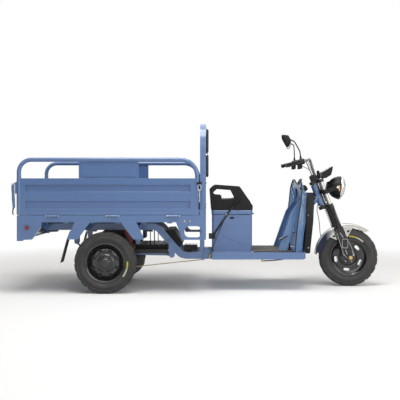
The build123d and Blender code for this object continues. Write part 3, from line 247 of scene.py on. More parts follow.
def use_group(tree, group, **inputs):
    """Places a shared group with its own values."""
    made = place(tree, "Group", node_tree=group)
    for name, value in inputs.items():
        made.inputs[name.replace("_", " ")].default_value = value
    return made.outputs


# %% [markdown]
# ## A finish from a few numbers
# A sprayed panel, a moulded cover and a rubber tread differ in colour, gloss, relief, wear and the highlight
# painted along their edges, not in how they are wired. `finish` makes one material from those values. What
# needs a pattern of its own, such as the marks on a tyre, takes the material that `finish` made and changes
# its base colour.

# %% The general finish
def finish(name, colour, edge_highlight_and_wear, rough=0.4, metal=0.0, grain=(500.0, 0.04), mottle=(5.0, 0.12),
           edge=(0.0015, 0.35), dust=0.05, coat=0.0, specular=0.4):
    """A material with relief, mottle, edges painted lighter as a highlight with some wear, and dust. Returns
    the material.
    """
    material, tree, shader = new_material(name)
    shader.inputs["Metallic"].default_value = metal
    shader.inputs["Coat Weight"].default_value = coat
    shader.inputs["Coat Roughness"].default_value = 0.12
    shader.inputs["Specular IOR Level"].default_value = specular
    relief = use_group(tree, RELIEF, Scale=grain[0], Mottle_Scale=mottle[0])
    edges = use_group(tree, EDGES, Width=edge[0])
    settled = use_group(tree, DUST, Amount=dust)
    shade = tuple(c * (1.0 - mottle[1]) for c in colour[:3]) + (1.0,)
    lifted = tuple(min(1.0, c * (1.0 + mottle[1])) for c in colour[:3]) + (1.0,)
    base = blend_colour(tree, relief["Mottle"], shade, lifted)
    # The edge colour is a painted highlight along the edges, with a little wear.
    base = blend_colour(tree, math_node(tree, "MULTIPLY", edges["Mask"], edge[1]), base, edge_highlight_and_wear)
    base = blend_colour(tree, settled["Mask"], base, DUST_COLOUR)
    tree.links.new(base, shader.inputs["Base Color"])
    gloss = math_node(tree, "MULTIPLY_ADD", relief["Mottle"], 0.16, rough - 0.08)
    gloss = math_node(tree, "ADD", gloss, math_node(tree, "MULTIPLY", settled["Mask"], 0.3), clamp=True)
    tree.links.new(gloss, shader.inputs["Roughness"])
    bump = place(tree, "Bump", {"Height": relief["Height"], "Strength": grain[1], "Distance": 0.001,
                                "Normal": edges["Normal"]})
    tree.links.new(bump.outputs[0], shader.inputs["Normal"])
    return material


BLUE = rgba(0.074, 0.150, 0.330)
BLACK = (0.0075, 0.0075, 0.0085)


def black(share=1.0):
    """The black of the machine, lighter or darker."""
    return rgba(*(c * share for c in BLACK))


# The second colour of each finish is its edge colour: a painted highlight, with a little wear.
FINISHES = {
    "blue_paint": finish("blue_enamel", BLUE, rgba(0.24, 0.35, 0.56), rough=0.33, grain=(700.0, 0.05),
                         mottle=(3.0, 0.05), edge=(0.0025, 0.8), dust=0.05, coat=0.9),
    "black_paint": finish("satin_black_paint", black(), black(7), rough=0.36, edge=(0.0015, 0.4)),
    "black_casting": finish("rough_black_casting", black(2), black(9), rough=0.55, grain=(260.0, 0.35),
                            dust=0.3),
    "black_steel": finish("wheel_enamel", black(0.8), black(8), rough=0.16, coat=0.8, edge=(0.002, 0.5),
                          dust=0.0),
    "black_alloy": finish("cast_wheel_paint", black(0.8), black(9), rough=0.2, coat=0.7, edge=(0.002, 0.5),
                          dust=0.0),
    "spring_steel": finish("oiled_spring_steel", black(1.6), rgba(0.2, 0.15, 0.1), rough=0.5, metal=0.4,
                           grain=(180.0, 0.3), dust=0.3),
    "damper_red": finish("damper_enamel", rgba(0.30, 0.055, 0.03), rgba(0.4, 0.2, 0.12), rough=0.4),
    "zinc": finish("yellow_zinc", rgba(0.36, 0.29, 0.15), rgba(0.6, 0.52, 0.36), rough=0.36, metal=1.0,
                   grain=(900.0, 0.1), mottle=(60.0, 0.3)),
    "chrome": finish("bright_chrome", rgba(0.58, 0.57, 0.54), rgba(0.9, 0.9, 0.88), rough=0.12, metal=1.0,
                     grain=(30.0, 0.01), mottle=(4.0, 0.03), dust=0.03),
    "black_plastic": finish("moulded_black", black(0.8), black(4), rough=0.4, grain=(1400.0, 0.35), dust=0.03,
                            specular=0.2),
    "battery_case": finish("battery_shell", black(3), black(8), rough=0.35),
    "mat_rubber": finish("ribbed_mat", black(1.4), black(4), rough=0.75, grain=(900.0, 0.4), dust=0.35),
    "flap_rubber": finish("flap_rubber", black(), black(4), rough=0.7, grain=(700.0, 0.3), dust=0.25),
    "tyre": finish("road_rubber", black(1.3), black(4), rough=0.62, grain=(1100.0, 0.35), dust=0.2),
    "pad_vinyl": finish("grained_vinyl", black(), black(4), rough=0.45, grain=(1000.0, 0.5), dust=0.1),
    "red_lens": finish("red_lens", rgba(0.16, 0.008, 0.006), rgba(0.3, 0.05, 0.04), rough=0.2, coat=0.6),
    "lamp_glass": finish("lamp_glass", rgba(0.75, 0.77, 0.8), rgba(0.9, 0.9, 0.9), rough=0.08, coat=0.8),
}
SPECIALS = {
    "gold": finish("gold_zinc_bolts", rgba(0.62, 0.44, 0.16), rgba(0.8, 0.7, 0.5), rough=0.28, metal=1.0,
                   grain=(900.0, 0.08), mottle=(90.0, 0.25)),
    "steel": finish("bright_steel", rgba(0.52, 0.53, 0.54), rgba(0.8, 0.8, 0.8), rough=0.28, metal=1.0,
                    grain=(700.0, 0.06), mottle=(40.0, 0.15)),
    "brass": finish("brass", rgba(0.55, 0.40, 0.14), rgba(0.8, 0.66, 0.4), rough=0.25, metal=1.0),
    "amber": finish("amber_lens", rgba(0.75, 0.24, 0.015), rgba(0.85, 0.45, 0.1), rough=0.15, coat=0.6),
    "red": finish("red_switch", rgba(0.42, 0.02, 0.02), rgba(0.6, 0.2, 0.15), rough=0.4),
    "silver_line": finish("silver_line", rgba(0.42, 0.43, 0.45), rgba(0.6, 0.6, 0.6), rough=0.35, metal=0.7),
    "bright_hinge": finish("hinge_steel", rgba(0.22, 0.30, 0.46), rgba(0.7, 0.72, 0.78), rough=0.3, metal=0.5,
                           grain=(700.0, 0.06), mottle=(40.0, 0.15)),
    # Chrome with its base painted dark, standing for the dark surroundings it reflects: a painted reflection.
    "chrome_painted_dark": finish("shaded_chrome", rgba(0.20, 0.20, 0.205), rgba(0.6, 0.6, 0.6), rough=0.2, metal=1.0,
                          grain=(30.0, 0.01), mottle=(4.0, 0.1), dust=0.03),
    "tube_chrome": finish("fork_tube_chrome", rgba(0.44, 0.42, 0.38), rgba(0.8, 0.8, 0.78), rough=0.2,
                          metal=1.0,
                          grain=(30.0, 0.01), mottle=(4.0, 0.05), dust=0.03),
    # The blue enamel painted lighter, as it looks where the lamps light it strongly: painted light.
    "blue_painted_lit": finish("blue_enamel_in_light", rgba(0.13, 0.25, 0.48), rgba(0.3, 0.42, 0.62), rough=0.3,
                         coat=0.35,
                         mottle=(3.0, 0.05)),
}
print("finishes:", len(FINISHES) + len(SPECIALS))

# %% Finishes that change along one axis
def graded(material, axis, start, end, colour):
    """Turns a finish into another colour between two places along an axis, in metres."""
    tree = material.node_tree
    shader = tree.nodes["Principled BSDF"]
    plain = shader.inputs["Base Color"].links[0].from_socket
    where = place(tree, "SeparateXYZ", {"Vector": object_place(tree)}).outputs[axis]
    mask = place(tree, "MapRange", {"Value": where, "From Min": start, "From Max": end}).outputs[0]
    tree.links.new(blend_colour(tree, mask, plain, colour), shader.inputs["Base Color"])
    return material


# Behind 1.08 m forward the mudguard turns dark blue-black: painted reflection and shade from the dark cover
# and shield behind it.
GUARD = graded(finish("mudguard_chrome", rgba(0.58, 0.56, 0.52), rgba(0.9, 0.9, 0.88), rough=0.14, metal=1.0,
                      grain=(30.0, 0.01), mottle=(4.0, 0.05),
                      dust=0.03), "X", 1.17, 1.08, rgba(0.028, 0.036, 0.06))
LINKAGE = graded(finish("rod_zinc", rgba(0.30, 0.25, 0.13), rgba(0.5, 0.45, 0.3), rough=0.38, metal=0.8,
                        grain=(900.0, 0.1), mottle=(60.0, 0.3)), "X", -0.014, -0.008, rgba(0.10, 0.17, 0.30))

# %% Finishes on the frame's own pieces
slot_of = {part["node"]: part["material_slot"] for part in frame["record"]["subparts"]}
for name, piece in NODES.items():
    piece.data.materials.clear()
    piece.data.materials.append(LINKAGE if name == "brake_linkage" else FINISHES[slot_of[name]])
print("dressed:", len(slot_of))

# %% [markdown]
# ## Drawing tools
# Workshop parts come from a few operations: an outline pulled to a thickness, a profile turned about an
# axis, and a bar bent along a path. Each tool adds to one bmesh, so a piece can be put together from several
# of them, and `keep` then rounds its sharp edges, points its faces outward and gives it its body.

# %% Outlines, turned shapes and bent bars
def facing_frame(centre, axis):
    """A frame at a centre, with its Z along an axis."""
    turn = Vector((0, 0, 1)).rotation_difference(Vector(axis)).to_matrix().to_4x4()
    return Matrix.Translation(centre) @ turn


def skin(bm, rings, closed=False):
    """Joins rings of points with faces. A ring of one point is a pole."""
    for low, high in zip(rings, rings[1:] + (rings[:1] if closed else [])):
        steps = max(len(low), len(high))
        for i in range(steps):
            j = (i + 1) % steps
            corners = [low[i % len(low)], low[j % len(low)], high[j % len(high)], high[i % len(high)]]
            corners = list(dict.fromkeys(corners))
            if len(corners) > 2:
                bm.faces.new(corners)


def capped(bm, rings):
    """Joins rings of points with faces, and closes both ends."""
    skin(bm, rings)
    bm.faces.new(rings[0][::-1])
    bm.faces.new(rings[-1])


def prism(bm, outline, low, high):
    """Pulls an outline drawn in X and Z from one Y to another."""
    near = [bm.verts.new((x, low, z)) for x, z in outline]
    far = [bm.verts.new((x, high, z)) for x, z in outline]
    bm.faces.new(near)
    bm.faces.new(far[::-1])
    skin(bm, [near, far])


def brick(bm, x0, x1, y0, y1, z0, z1):
    """A block between two corners."""
    prism(bm, [(x0, z0), (x1, z0), (x1, z1), (x0, z1)], y0, y1)


def lathe(bm, profile, centre, axis, steps=64, closed=False):
    """Turns points, each a radius and a distance along the axis, about an axis through a centre."""
    spot = facing_frame(centre, axis)
    rings = []
    for radius, along in profile:
        if radius < 1e-6:
            rings.append([bm.verts.new(spot @ Vector((0, 0, along)))])
            continue
        angles = [2 * pi * i / steps for i in range(steps)]
        rings.append([bm.verts.new(spot @ Vector((radius * cos(a), radius * sin(a), along))) for a in angles])
    skin(bm, rings, closed)


def disc(bm, radius, height, at, along, steps):
    """A plain round block, from a place and along a direction."""
    lathe(bm, [(0, 0), (radius, 0), (radius, height), (0, height)], at, along, steps)


def rounded(points, radius, steps=5):
    """A path with an arc at each corner."""
    points = [Vector(point) for point in points]
    path = [points[0]]
    for before, at, after in zip(points, points[1:], points[2:]):
        back, on = (before - at).normalized(), (after - at).normalized()
        half = back.angle(on) / 2
        if half > 1.55:
            continue
        cut = min(radius / tan(half), 0.48 * min((before - at).length, (after - at).length))
        centre = at + (back + on).normalized() * cut / cos(half)
        first, last = at + back * cut - centre, at + on * cut - centre
        path += [centre + first.slerp(last, i / steps) * first.length for i in range(steps + 1)]
    return path + [points[-1]]


def tube(bm, points, radius, sides=12, closed=False):
    """A round bar along a path, with closed ends."""
    points = [Vector(point) for point in points]
    count, side, rings = len(points), None, []
    for i, at in enumerate(points):
        before = points[i - 1] if i or closed else at
        after = points[(i + 1) % count] if i + 1 < count or closed else at
        ahead = (after - before).normalized()
        side = ahead.orthogonal() if side is None else side
        side = (side - ahead * side.dot(ahead)).normalized()
        up = ahead.cross(side)
        angles = [2 * pi * k / sides for k in range(sides)]
        rings.append([bm.verts.new(at + (side * cos(a) + up * sin(a)) * radius) for a in angles])
    skin(bm, rings, closed)
    if not closed:
        bm.faces.new(rings[0][::-1])
        bm.faces.new(rings[-1])


def arc_points(centre, radius, start, end, steps):
    """Points on an arc in X and Z, with angles in degrees above forward."""
    angles = [radians(start + (end - start) * i / steps) for i in range(steps + 1)]
    return [(centre[0] + radius * cos(a), centre[1] + radius * sin(a)) for a in angles]


def round_corners(outline, radius, steps=4):
    """An outline in X and Z with an arc at each corner."""
    path = [Vector((x, 0, z)) for x, z in outline]
    start = (path[-1] + path[0]) / 2
    loop = rounded([start] + path + [start], radius, steps)
    return [(p.x, p.z) for p in loop[:-1]]


def both(points):
    """Points and their mirror images on the other side of the machine, in order along the whole path."""
    return [(x, -y, z) for x, y, z in reversed(points)] + list(points)


def keep(name, bm, slot, body, finish_with=None, bevel=0.0, smooth=35, spot=None, replaces=()):
    """Turns a drawing into a piece in metres, with rounded edges, a finish and a body."""
    bmesh.ops.remove_doubles(bm, verts=bm.verts, dist=0.005)
    if bevel:
        sharp = [e for e in bm.edges if len(e.link_faces) == 2 and e.calc_face_angle(0) > radians(28)]
        bmesh.ops.bevel(bm, geom=sharp, offset=bevel, segments=2, profile=0.6, affect="EDGES",
                        clamp_overlap=True)
    bmesh.ops.recalc_face_normals(bm, faces=bm.faces)
    if spot is not None:
        bm.transform(spot)
    bm.transform(Matrix.Scale(0.001, 4))
    mesh = bpy.data.meshes.new(name)
    bm.to_mesh(mesh)
    bm.free()
    mesh.shade_smooth()
    mesh.set_sharp_from_angle(angle=radians(smooth))
    mesh.materials.clear()
    mesh.materials.append(finish_with or FINISHES[slot])
    piece = put(name, mesh)
    if replaces:
        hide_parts(*replaces)
    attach(piece, body)
    return piece


def span(node):
    """Two corners of a frame piece, in millimetres."""
    low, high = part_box(node)
    return Vector(low) * 1000, Vector(high) * 1000


STEER = next(joint for joint in frame["joints"] if joint["name"] == "steer")
RAKE = atan2(-STEER["axis"][0], STEER["axis"][2])
HEAD = Vector(STEER["pos_m"]) * 1000
FORK = Matrix.Translation(HEAD) @ Matrix.Rotation(-RAKE, 4, "Y")
WORD = {-1: "right", 1: "left"}
print("rake", round(degrees(RAKE), 2), "head at", tuple(round(v) for v in HEAD))

# %% [markdown]
# ## What repeats
# Bolts, tread blocks, ribs and weld scales repeat by rule, so Geometry Nodes place them. One tree sets copies
# round an axis, one sets them on points that carry a direction, and one sets them at even steps along a path.
# `grow` runs a tree over a mesh and hands back a plain mesh, since a finished piece carries no modifier.

# %% Generators
def finish_tree(tree, out, instances, into):
    """Ends a generator: real geometry with its material."""
    real = lay(tree, "GeometryNodeRealizeInstances", {"Geometry": instances})
    dressed = lay(tree, "GeometryNodeSetMaterial",
                  {"Geometry": real.outputs[0], "Material": into["Material"]})
    tree.links.new(dressed.outputs[0], out["Geometry"])


def build_ring():
    """Copies of a piece round the Y axis."""
    tree, into, out = new_group(
        "ring_of_pieces", [("Geometry", "Geometry", None), ("Piece", "Object", None), ("Count", "Int", 8),
                           ("Turn", "Float", 0.0), ("Material", "Material", None)],
        [("Geometry", "Geometry")], "GeometryNodeTree")
    points = lay(tree, "GeometryNodePoints", {"Count": into["Count"]})
    step = math_node(tree, "DIVIDE", 2 * pi, into["Count"])
    angle = math_node(tree, "MULTIPLY_ADD", lay(tree, "GeometryNodeInputIndex").outputs[0], step,
                      into["Turn"])
    turn = lay(tree, "FunctionNodeEulerToRotation", {0: place(tree, "CombineXYZ", {"Y": angle}).outputs[0]})
    piece = lay(tree, "GeometryNodeObjectInfo", {"Object": into["Piece"]})
    made = lay(tree, "GeometryNodeInstanceOnPoints",
               {"Points": points.outputs[0], "Rotation": turn.outputs[0],
                                                      "Instance": piece.outputs["Geometry"]})
    finish_tree(tree, out, made.outputs[0], into)
    return tree


def build_scatter():
    """Copies of a piece on points, each facing along its point's own direction and turned at random."""
    tree, into, out = new_group(
        "pieces_on_points", [("Geometry", "Geometry", None), ("Piece", "Object", None),
                             ("Size", "Float", 1.0), ("Roll", "Float", 3.0), ("Seed", "Int", 7),
                             ("Material", "Material", None)],
        [("Geometry", "Geometry")], "GeometryNodeTree")
    facing = lay(tree, "GeometryNodeInputNamedAttribute", {"Name": "facing"}, data_type="FLOAT_VECTOR")
    aim = lay(tree, "FunctionNodeAlignRotationToVector", {"Vector": facing.outputs[0]}, axis="Z")
    roll = lay(tree, "FunctionNodeRandomValue", {2: 0.0, 3: into["Roll"], "Seed": into["Seed"]},
               data_type="FLOAT")
    about = lay(tree, "FunctionNodeEulerToRotation",
                {0: place(tree, "CombineXYZ", {"Z": roll.outputs[1]}).outputs[0]})
    turn = lay(tree, "FunctionNodeRotateRotation", {0: aim.outputs[0], 1: about.outputs[0]},
               rotation_space="LOCAL")
    piece = lay(tree, "GeometryNodeObjectInfo", {"Object": into["Piece"]})
    size = place(tree, "CombineXYZ", {"X": into["Size"], "Y": into["Size"], "Z": into["Size"]})
    made = lay(tree, "GeometryNodeInstanceOnPoints",
               {"Points": into["Geometry"], "Rotation": turn.outputs[0], "Scale": size.outputs[0],
                "Instance": piece.outputs["Geometry"]})
    finish_tree(tree, out, made.outputs[0], into)
    return tree


def build_along():
    """Copies of a piece at even steps along a path, facing along it."""
    tree, into, out = new_group(
        "pieces_along_path", [("Geometry", "Geometry", None), ("Piece", "Object", None),
                              ("Step", "Float", 5.0), ("Material", "Material", None)],
        [("Geometry", "Geometry")], "GeometryNodeTree")
    path = lay(tree, "GeometryNodeMeshToCurve", {"Mesh": into["Geometry"]})
    even = lay(tree, "GeometryNodeResampleCurve", {"Curve": path.outputs[0], "Length": into["Step"]},
               mode="LENGTH")
    ahead = lay(tree, "GeometryNodeInputTangent")
    aim = lay(tree, "FunctionNodeAlignRotationToVector", {"Vector": ahead.outputs[0]}, axis="Z")
    piece = lay(tree, "GeometryNodeObjectInfo", {"Object": into["Piece"]})
    made = lay(tree, "GeometryNodeInstanceOnPoints", {"Points": even.outputs[0], "Rotation": aim.outputs[0],
                                                      "Instance": piece.outputs["Geometry"]})
    finish_tree(tree, out, made.outputs[0], into)
    return tree


RING, SCATTER, ALONG = build_ring(), build_scatter(), build_along()


def grow(tree, source, drawing, into_bm, **values):
    """Runs a generator with a drawn piece over a source mesh, and adds what it made to a bmesh."""
    piece_mesh = bpy.data.meshes.new("pattern")
    bmesh.ops.recalc_face_normals(drawing, faces=drawing.faces)
    drawing.to_mesh(piece_mesh)
    drawing.free()
    pattern, carrier = put("pattern", piece_mesh), put("carrier", source)
    modifier = carrier.modifiers.new("grow", "NODES")
    modifier.node_group = tree
    values["Piece"] = pattern
    values["Material"] = FINISHES["zinc"]
    for item in tree.interface.items_tree:
        if item.in_out == "INPUT" and item.name in values:
            modifier[item.identifier] = values[item.name]
    made = made_plain(carrier)
    into_bm.from_mesh(made)
    for thing in (pattern, carrier):
        bpy.data.objects.remove(thing)
    return len(made.polygons)


def points_mesh(places):
    """A mesh of bare points from pairs of a place and a direction."""
    mesh = bpy.data.meshes.new("points")
    mesh.from_pydata([place_ for place_, _ in places], [], [])
    facing = mesh.attributes.new("facing", "FLOAT_VECTOR", "POINT")
    facing.data.foreach_set("vector", [value for _, ahead in places for value in ahead])
    return mesh


def path_mesh(points):
    """A mesh of edges that follows a path."""
    mesh = bpy.data.meshes.new("path")
    mesh.from_pydata([tuple(point) for point in points], [(i, i + 1) for i in range(len(points) - 1)], [])
    return mesh


def bolt_drawing(sides=6):
    """A bolt head of unit radius on its washer, facing along Z."""
    bm = bmesh.new()
    disc(bm, 1.45, 0.22, (0, 0, 0), (0, 0, 1), 14)
    lathe(bm, [(0, 0.2), (1.0, 0.2), (1.0, 0.8), (0.86, 0.95), (0, 0.95)], (0, 0, 0), (0, 0, 1), sides)
    return bm


def bolts(name, places, size, body, slot="zinc", finish_with=None):
    """Bolts on a body, from pairs of a place and a direction."""
    bm = bmesh.new()
    grow(SCATTER, points_mesh(places), bolt_drawing(), bm, Size=size)
    return keep(name, bm, slot, body, finish_with=finish_with or SPECIALS["gold"])


print("generators:", RING.name, SCATTER.name, ALONG.name)

# %% [markdown]
# ## Tyres
# A road tyre on this machine has a plain crown with small staggered blocks, deep blocks over both shoulders
# and a ribbed sidewall with two coloured stripes of the maker's balance marks. The carcass is a turned
# profile. The blocks repeat round the axle, so the ring generator sets them. A UV map holds the angle and the
# radius of each point, and the stripes read it, so they turn with the wheel.

# %% Tyres
LUGS = 20
CROWN_BLOCKS = 44
TREAD_DEPTH = 7
TYRE_PROFILE = ((152.4, 32), (158, 36), (166, 37.5), (170, 41), (172, 41), (185, 46), (187, 47.2),
                (203, 48.4), (205, 47.8), (216, 47.4), (218, 46.2))


def lug_drawing(radius):
    """One shoulder block: it follows the tread and folds down over the shoulder."""
    bm = bmesh.new()
    pitch = 2 * pi / LUGS
    section = [(radius - 10, 19), (radius, 21), (radius - 0.6, 37), (radius - 8, 45.5), (radius - 25, 48.6),
               (radius - 28, 45), (radius - 12, 38)]
    rings = []
    for i in range(6):
        angle = pitch * 0.36 * (2 * i / 5 - 1)
        rings.append([bm.verts.new((r * sin(angle), y, r * cos(angle))) for r, y in section])
    capped(bm, rings)
    return bm


def crown_drawing(radius, y, half):
    """One small block of the crown."""
    bm = bmesh.new()
    pitch = 2 * pi / CROWN_BLOCKS
    rings = []
    for angle in (-0.36 * pitch, 0.0, 0.36 * pitch):
        rings.append([bm.verts.new((r * sin(angle), y + dy, r * cos(angle)))
                      for r, dy in ((radius - 8, -half), (radius + 0.1, -half + 1), (radius + 0.1, half - 1),
                                    (radius - 8, half))])
    capped(bm, rings)
    return bm


def marked_rubber(name, yellow, pale):
    """Tyre rubber with two painted stripes between the angles given, in degrees above forward."""
    material = finish(name, black(1.3), black(4), rough=0.62, grain=(1100.0, 0.35), dust=0.2)
    tree = material.node_tree
    shader = tree.nodes["Principled BSDF"]
    base = shader.inputs["Base Color"].links[0].from_socket
    place_on = place(tree, "SeparateXYZ", {"Vector": place(tree, "UVMap", uv_map="round").outputs[0]}).outputs
    high = math_node(tree, "GREATER_THAN", place_on["Y"], STRIPE[0])
    band = math_node(tree, "MULTIPLY", high, math_node(tree, "LESS_THAN", place_on["Y"], STRIPE[1]))
    chips = place(tree, "TexNoise", {"Vector": object_place(tree), "Scale": 300.0})
    band = math_node(tree, "MULTIPLY", band, math_node(tree, "GREATER_THAN", chips.outputs[0], 0.36))
    for (low, top), colour in ((yellow, rgba(0.60, 0.47, 0.03)), (pale, rgba(0.52, 0.53, 0.40))):
        inside = math_node(tree, "MULTIPLY", math_node(tree, "GREATER_THAN", place_on["X"], low / 360 + 0.5),
                           math_node(tree, "LESS_THAN", place_on["X"], top / 360 + 0.5))
        base = blend_colour(tree, math_node(tree, "MULTIPLY", band, inside), base, colour)
    tree.links.new(base, shader.inputs["Base Color"])
    return material


STRIPE = (0.176, 0.188)
REAR_RUBBER = marked_rubber("rear_tyre_rubber", (-11, 4), (-37, -12))
FRONT_RUBBER = marked_rubber("front_tyre_rubber", (73, 90), (47, 72))


def tyre(node, body, rubber):
    """A whole tyre in the place of the plain one."""
    low, high = span(node)
    centre, radius = (low + high) / 2, (high.z - low.z) / 2
    bm = bmesh.new()
    base = radius - TREAD_DEPTH
    half = list(TYRE_PROFILE) + [(base - 16, 45.2), (base - 3, 41.5), (base, 36), (base + 0.8, 18)]
    profile = half + [(r, -y) for r, y in reversed(half)]
    lathe(bm, profile, (0, 0, 0), (0, 1, 0), 120, closed=True)
    empty = bpy.data.meshes.new("empty")
    for side in (-1, 1):
        drawing = lug_drawing(radius)
        bmesh.ops.scale(drawing, vec=(1, side, 1), verts=drawing.verts)
        grow(RING, empty, drawing, bm, Count=LUGS, Turn=0.0 if side > 0 else pi / LUGS)
    for row, (y, width) in enumerate(((-13.5, 5.5), (0, 6), (13.5, 5.5))):
        grow(RING, empty, crown_drawing(radius, y, width), bm, Count=CROWN_BLOCKS,
             Turn=row * pi / CROWN_BLOCKS)
    made = keep(node + "_tread", bm, "tyre", body, finish_with=rubber, smooth=30,
                spot=Matrix.Translation(centre), replaces=(node,))
    layer = made.data.uv_layers.new(name="round")
    middle = centre / 1000
    for face in made.data.polygons:
        seat = face.center - middle
        base_angle = atan2(seat.z, seat.x)
        for loop in face.loop_indices:
            at = made.data.vertices[made.data.loops[loop].vertex_index].co - middle
            turn = atan2(at.z, at.x)
            turn += 2 * pi * round((base_angle - turn) / (2 * pi))
            layer.data[loop].uv = (turn / (2 * pi) + 0.5, sqrt(at.x * at.x + at.z * at.z))
    return made


for node, body, rubber in (("front_tyre", "front_wheel", FRONT_RUBBER),
                           ("rear_tyre_right", "rear_wheel_right", REAR_RUBBER),
                           ("rear_tyre_left", "rear_wheel_left", REAR_RUBBER)):
    print(node, len(tyre(node, body, rubber).data.polygons), "faces")

# %% [markdown]
# ## Wheels
# The front wheel is a casting with five long windows. It is a turned profile with the windows cut out by a
# Boolean. It takes nuts round its hub and a valve.

# %% Front wheel
WINDOWS = 5
WINDOW_ARC = (98, 124, 14)
FIRST_WINDOW = 26
FRONT_HUB = (span("front_tyre")[0] + span("front_tyre")[1]) / 2
AT_HUB = Matrix.Translation(FRONT_HUB)
VALVE_ANGLE = 2.3


def wheel_point(radius, angle, along, centre=(0, 0)):
    """A point at an angle round the axle, in radians."""
    return Vector((centre[0] + radius * cos(angle), along, centre[1] + radius * sin(angle)))


def bean(grow_by=0.0):
    """The outline of a wheel window: a bent slot."""
    low, high, half = WINDOW_ARC
    low, high = low - grow_by, high + grow_by
    cap = (high - low) / 2
    middle = (high + low) / 2
    reach = half - degrees((WINDOW_ARC[1] - WINDOW_ARC[0]) / 2 / middle)
    outer = arc_points((0, 0), high, -reach, reach, 10)
    inner = arc_points((0, 0), low, reach, -reach, 10)
    ends = []
    for angle, start in ((reach, reach), (-reach, -reach + 180)):
        at = (middle * cos(radians(angle)), middle * sin(radians(angle)))
        ends.append(arc_points(at, cap, start, start + 180, 8)[1:-1])
    return outer + ends[0] + inner + ends[1]


def cut_away(piece, cutter_bm):
    """Takes one drawing out of a kept piece with a Boolean, and applies it."""
    bmesh.ops.recalc_face_normals(cutter_bm, faces=cutter_bm.faces)
    cutter_bm.transform(Matrix.Scale(0.001, 4))
    mesh = bpy.data.meshes.new("cutter")
    cutter_bm.to_mesh(mesh)
    cutter_bm.free()
    cutter = put("cutter", mesh)
    modifier = piece.modifiers.new("cut", "BOOLEAN")
    modifier.object = cutter
    modifier.solver = "EXACT"
    made = made_plain(piece)
    made.shade_smooth()
    made.set_sharp_from_angle(angle=radians(35))
    bpy.data.objects.remove(cutter)


def front_wheel():
    """The cast wheel and the collars of its windows."""
    half, flange, bead = 41, 167, 152
    profile = [(flange, half), (flange + 1, half - 2), (flange, half - 4), (bead, half - 8),
               (bead, -half + 8), (flange, -half + 4), (flange + 1, -half + 2), (flange, -half),
               (bead + 4, -half), (bead - 8, -half + 10), (bead - 12, -16), (136, -14), (92, -13), (84, -15),
               (78, -13), (60, -30), (52, -33), (34, -38), (30, -38), (28, -36), (8.5, -36), (8.5, 36),
               (28, 36), (30, 38), (34, 38), (52, 33), (60, 30), (78, 13), (84, 15), (92, 13), (136, 14),
               (bead - 12, 16), (bead - 8, half - 10), (bead + 4, half)]
    bm = bmesh.new()
    lathe(bm, profile, (0, 0, 0), (0, 1, 0), 120, closed=True)
    wheel = keep("front_wheel_casting", bm, "black_alloy", "front_wheel", spot=AT_HUB,
                 replaces=("front_rim",))
    cutter, collars = bmesh.new(), bmesh.new()
    for i in range(WINDOWS):
        turn = Matrix.Rotation(radians(FIRST_WINDOW + 72 * i), 4, "Y")
        for bm, outline, walls in ((cutter, bean(), ((-60, 60),)),
                                   (collars, bean(5), ((-22, -14), (14, 22)))):
            for low, high in walls:
                start = len(bm.verts)
                prism(bm, outline, low, high)
                bm.verts.ensure_lookup_table()
                for vert in bm.verts[start:]:
                    vert.co = turn @ vert.co
    cutter_copy = cutter.copy()
    for bm in (cutter, cutter_copy):
        bm.transform(AT_HUB)
    cut_away(wheel, cutter)
    rims = keep("front_wheel_collars", collars, "black_alloy", "front_wheel", bevel=1.2, spot=AT_HUB)
    cut_away(rims, cutter_copy)
    print("front wheel:", len(wheel.data.polygons), "faces")


front_wheel()

# %% Wheel nuts and valve
def wheel_fittings(name, centre, body, side, circle, count, face_y, size):
    """Wheel nuts round a hub, and a valve through the rim."""
    bm = bmesh.new()
    places = []
    for i in range(count):
        a = 2 * pi * i / count + 0.3
        places.append(((circle * cos(a), face_y * side, circle * sin(a)), (0, side, 0)))
    grow(SCATTER, points_mesh(places), bolt_drawing(), bm, Size=size)
    keep(name + "_nuts", bm, "zinc", body, finish_with=SPECIALS["steel"], spot=Matrix.Translation(centre))
    valve = bmesh.new()
    foot, neck, cap = (wheel_point(r, VALVE_ANGLE, side * y) for r, y in ((138, 24), (132, 44), (130, 52)))
    tube(valve, [foot, neck], 4, 10)
    tube(valve, [neck, cap], 5, 10)
    keep(name + "_valve", valve, "flap_rubber", body, bevel=0.6, spot=Matrix.Translation(centre))


wheel_fittings("front_wheel", FRONT_HUB, "front_wheel", -1, 44, 5, 35, 4)
print("wheel fittings made")

# %% [markdown]
# ## The fork
# Each leg is a bright tube in a black lower leg, with an open coil spring round the tube. The spring is a
# helix: a bar swept along a path whose angle and height rise together, with close turns at both ends where
# it sits on its seat rings.

# %% Springs and fittings of the fork
LEG_FORWARD, LEG_SIDE = 56, 102
SPRING_TOP, SPRING_LEN, SPRING_R, WIRE_R, COILS = -130, 190, 30, 4.6, 11


def fork_spring(side):
    """One coil spring with its seat rings, drawn along the steering axis."""
    bm = bmesh.new()
    steps, foot = COILS * 24, SPRING_TOP - SPRING_LEN
    path = []
    for i in range(steps + 1):
        t = i / steps
        rise = 0.5 - 0.5 * cos(pi * t)
        height = foot + 8 + (SPRING_LEN - 16) * (0.75 * t + 0.25 * rise)
        a = 2 * pi * COILS * t
        path.append((LEG_FORWARD + (SPRING_R - WIRE_R) * cos(a),
                     side * LEG_SIDE + (SPRING_R - WIRE_R) * sin(a), height))
    tube(bm, path, WIRE_R, 8)
    for low in (foot, SPRING_TOP - 5):
        lathe(bm, [(18, low), (SPRING_R, low), (SPRING_R, low + 5), (18, low + 5)],
              (LEG_FORWARD, side * LEG_SIDE, 0), (0, 0, 1), 40, closed=True)
    name = "fork_spring_" + WORD[side]
    return keep(name, bm, "black_paint", "steering", spot=FORK,
                replaces=("fork_springs",) if side > 0 else ())


